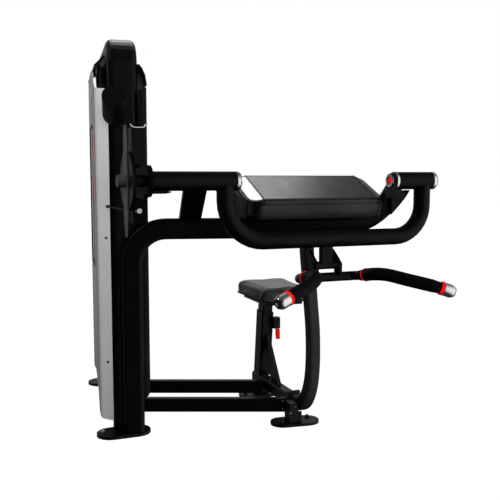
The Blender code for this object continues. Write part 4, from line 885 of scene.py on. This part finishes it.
def shroud_patch(name, outline, thick, mat_):
    bm = bmesh.new()
    c = (sum(q[0] for q in outline) / len(outline), sum(q[1] for q in outline) / len(outline))
    levels = []
    for lift, k_ in ((0.0002, 1.0), (thick * 0.8, 1.0), (thick, 0.985)):
        levels.append([bm.verts.new(on_shroud(c[0] + (y - c[0]) * k_, c[1] + (z - c[1]) * k_, lift)) for y, z in outline])
    n = len(outline)
    for a, b in zip(levels, levels[1:]):
        for i in range(n):
            j = (i + 1) % n
            bm.faces.new((a[i], a[j], b[j], b[i]))
    for ring_, lift in ((levels[0], 0.0002), (levels[-1], thick)):
        mid = bm.verts.new(on_shroud(c[0], c[1], lift))
        for i in range(n):
            bm.faces.new((ring_[i], ring_[(i + 1) % n], mid))
    piece(name, bm, mat_, "frame", 30)


shroud_patch("shroud_plaque", [(0.275 + 0.125 * math.cos(a), 1.330 + 0.030 * math.sin(a)) for a in [2 * math.pi * i / 40 for i in range(40)]], 0.0014, LABEL)
for i, (z0, z1) in enumerate(((1.070, 1.218), (0.900, 1.007))):
    shroud_patch(f"shroud_bar_{i}", [(0.034, z0), (0.056, z0 + 0.004), (0.056, z1 - 0.004), (0.034, z1)], 0.0010, RED)

# rubber trim round the shroud's window
bm = bmesh.new()
trim = []
for cy, cz, a0 in ((0.588, 1.198, 0), (0.212, 1.198, 90), (0.212, 0.652, 180), (0.588, 0.652, 270)):
    for i in range(5):
        a = math.radians(a0 + 90 * i / 4)
        trim.append((cy + 0.012 * math.cos(a), cz + 0.012 * math.sin(a)))
dense = []
for (y0, z0), (y1, z1) in zip(trim, trim[1:] + trim[:1]):
    n = max(1, int(math.hypot(y1 - y0, z1 - z0) / 0.03))
    dense += [on_shroud(y0 + (y1 - y0) * i / n, z0 + (z1 - z0) * i / n, -0.0008) for i in range(n)]
add_tube(bm, dense, 0.0028, 10, True)
piece("window_trim", bm, TRIM, "frame", 60)

# weld beads where the arm meets its hubs
bm = bmesh.new()
for x in (0.0493, 0.8612):
    ring_ = []
    for i in range(56):
        t = 2 * math.pi * i / 56
        y = 0.0322 * math.sin(t)
        ring_.append(A(x + 0.0322 * math.cos(t), y, PIVOT_Z - math.sqrt(max(0.0, 0.0340 ** 2 - y * y))))
    bead(bm, ring_, 0.0022)
piece("arm_welds", bm, WELD, "arm", 60)

# ---------------------------------------------------------------------- camera
cam_data = bpy.data.cameras.new("camera")
cam_data.lens = 52.92
cam_data.sensor_width = 36.0
cam = bpy.data.objects.new("camera", cam_data)
bpy.context.scene.collection.objects.link(cam)
cam.location = (-1.09575, -2.83854, 1.0)
cam.rotation_euler = (math.radians(84.33), 0.0, math.radians(-21.5))
bpy.context.scene.camera = cam

# ------------------------------------------------------------ floor and lights
floor_mat = material("floor_pale", (0.30, 0.30, 0.30), 0.9, spec=0.0)
vary_rough(floor_mat, noise(floor_mat, 3.0, 2.0), 0.85, 0.95)
floor_mat.node_tree.nodes["Principled BSDF"].inputs["Emission Color"].default_value = (1.0, 1.0, 1.0, 1.0)
floor_mat.node_tree.nodes["Principled BSDF"].inputs["Emission Strength"].default_value = 0.97
bm = bmesh.new()
vs = [bm.verts.new(p) for p in ((-60, -40, -0.0008), (60, -40, -0.0008), (60, 160, -0.0008), (-60, 160, -0.0008))]
bm.faces.new(vs)
me = bpy.data.meshes.new("floor")
bm.to_mesh(me)
bm.free()
me.materials.append(floor_mat)
floor = bpy.data.objects.new("floor", me)
bpy.context.scene.collection.objects.link(floor)
floor.visible_glossy = False
floor.visible_diffuse = False


def area(name, at, look, size, power, size_y=None, colour=(1, 1, 1)):
    d = bpy.data.lights.new(name, "AREA")
    d.shape = "RECTANGLE"
    d.size = size
    d.size_y = size_y or size
    d.energy = power
    d.color = colour
    o = bpy.data.objects.new(name, d)
    bpy.context.scene.collection.objects.link(o)
    o.location = at
    o.rotation_euler = (Vector(look) - Vector(at)).to_track_quat("-Z", "Y").to_euler()
    return o


def only_on(light, words, alone=False):
    """The light reaches only the objects whose name begins with one of these words."""
    c = bpy.data.collections.new(light.name + "_receivers")
    for ob in bpy.context.scene.objects:
        if ob.type == "MESH" and ob.name.startswith(words):
            c.objects.link(ob)
    light.light_linking.receiver_collection = c
    if alone:
        light.light_linking.blocker_collection = c


key = area("key", (-0.95, -1.20, 1.95), (-0.60, -0.05, 1.2), 0.7, 6)
key.visible_glossy = False
silver_key = area("silver_key", (0.15, -1.95, 2.1), (-0.62, -0.05, 1.5), 0.9, 54)
silver_key.visible_glossy = False
only_on(silver_key, ("stack_shroud", "shroud_plaque"), True)
red_key = area("red_key", (-1.3, -2.6, 1.6), (0.1, -0.3, 0.8), 1.2, 72)
red_key.visible_glossy = False
only_on(red_key, ("outer_collar", "inner_collar", "bearing_red_cap", "shroud_bar", "seat_lever"))
front_fill = area("front_fill", (0.2, -2.9, 0.9), (0.05, -0.2, 0.4), 1.6, 420)
front_fill.visible_glossy = False
only_on(front_fill, ("main_upright", "seat_brace", "seat_pad", "seat_cushion"))
pad_box = area("pad_box", (0.75, 1.72, 3.50), (0.15, -0.27, 0.95), 1.64, 18)
only_on(pad_box, ("arm_pad",))
bevel_box = area("bevel_box", (-0.32, 1.40, 3.45), (0.15, -0.27, 0.95), 1.5, 78)
only_on(bevel_box, ("arm_pad",))
arch_box = area("arch_box", (0.05, 1.35, 3.45), (-0.55, 0.1, 1.5), 1.5, 38)
only_on(arch_box, ("tower_arch", "rear_cover_cap"))
area("left_high", (-2.6, 0.2, 3.0), (-0.6, 0.2, 1.1), 1.0, 7)

# world: dim room with a few broad soft panels, white to the eye
world = bpy.data.worlds.new("studio")
bpy.context.scene.world = world
world.use_nodes = True
nt = world.node_tree
nt.nodes.clear()
out = nt.nodes.new("ShaderNodeOutputWorld")
tc = nt.nodes.new("ShaderNodeTexCoord")


def panel(direction, lo, hi, value):
    """Soft lobe of light round a direction; returns a value socket."""
    dot = nt.nodes.new("ShaderNodeVectorMath")
    dot.operation = "DOT_PRODUCT"
    dot.inputs[1].default_value = Vector(direction).normalized()
    nt.links.new(tc.outputs["Generated"], dot.inputs[0])
    r = nt.nodes.new("ShaderNodeMapRange")
    r.interpolation_type = "SMOOTHSTEP"
    r.inputs["From Min"].default_value = lo
    r.inputs["From Max"].default_value = hi
    r.inputs["To Min"].default_value = 0.0
    r.inputs["To Max"].default_value = value
    nt.links.new(dot.outputs["Value"], r.inputs["Value"])
    return r.outputs["Result"]


total = None
for args in (((0.72, -0.69, -0.05), 0.42, 0.96, 0.85), ((0.15, 0.97, 0.16), 0.80, 0.99, 0.50), ((0.05, 0.62, 0.78), 0.915, 0.985, 0.25), ((-0.75, 0.62, 0.10), 0.45, 0.95, 0.16),
             ((0.0, 0.0, 1.0), 0.5, 1.0, 0.06), ((0.9, 0.4, 0.2), 0.5, 1.0, 0.16)):
    v = panel(*args)
    if total is None:
        total = v
    else:
        a = nt.nodes.new("ShaderNodeMath")
        a.operation = "ADD"
        nt.links.new(total, a.inputs[0])
        nt.links.new(v, a.inputs[1])
        total = a.outputs["Value"]
base = nt.nodes.new("ShaderNodeMath")
base.operation = "ADD"
base.inputs[1].default_value = 0.025
nt.links.new(total, base.inputs[0])
bg_env = nt.nodes.new("ShaderNodeBackground")
bg_env.inputs["Color"].default_value = (1.0, 1.0, 1.0, 1.0)
nt.links.new(base.outputs["Value"], bg_env.inputs["Strength"])
bg_eye = nt.nodes.new("ShaderNodeBackground")
bg_eye.inputs["Color"].default_value = (1.0, 1.0, 1.0, 1.0)
bg_eye.inputs["Strength"].default_value = 1.0
lp = nt.nodes.new("ShaderNodeLightPath")
mix = nt.nodes.new("ShaderNodeMixShader")
nt.links.new(lp.outputs["Is Camera Ray"], mix.inputs["Fac"])
nt.links.new(bg_env.outputs["Background"], mix.inputs[1])
nt.links.new(bg_eye.outputs["Background"], mix.inputs[2])
nt.links.new(mix.outputs["Shader"], out.inputs["Surface"])

bpy.context.scene.view_settings.view_transform = "Standard"
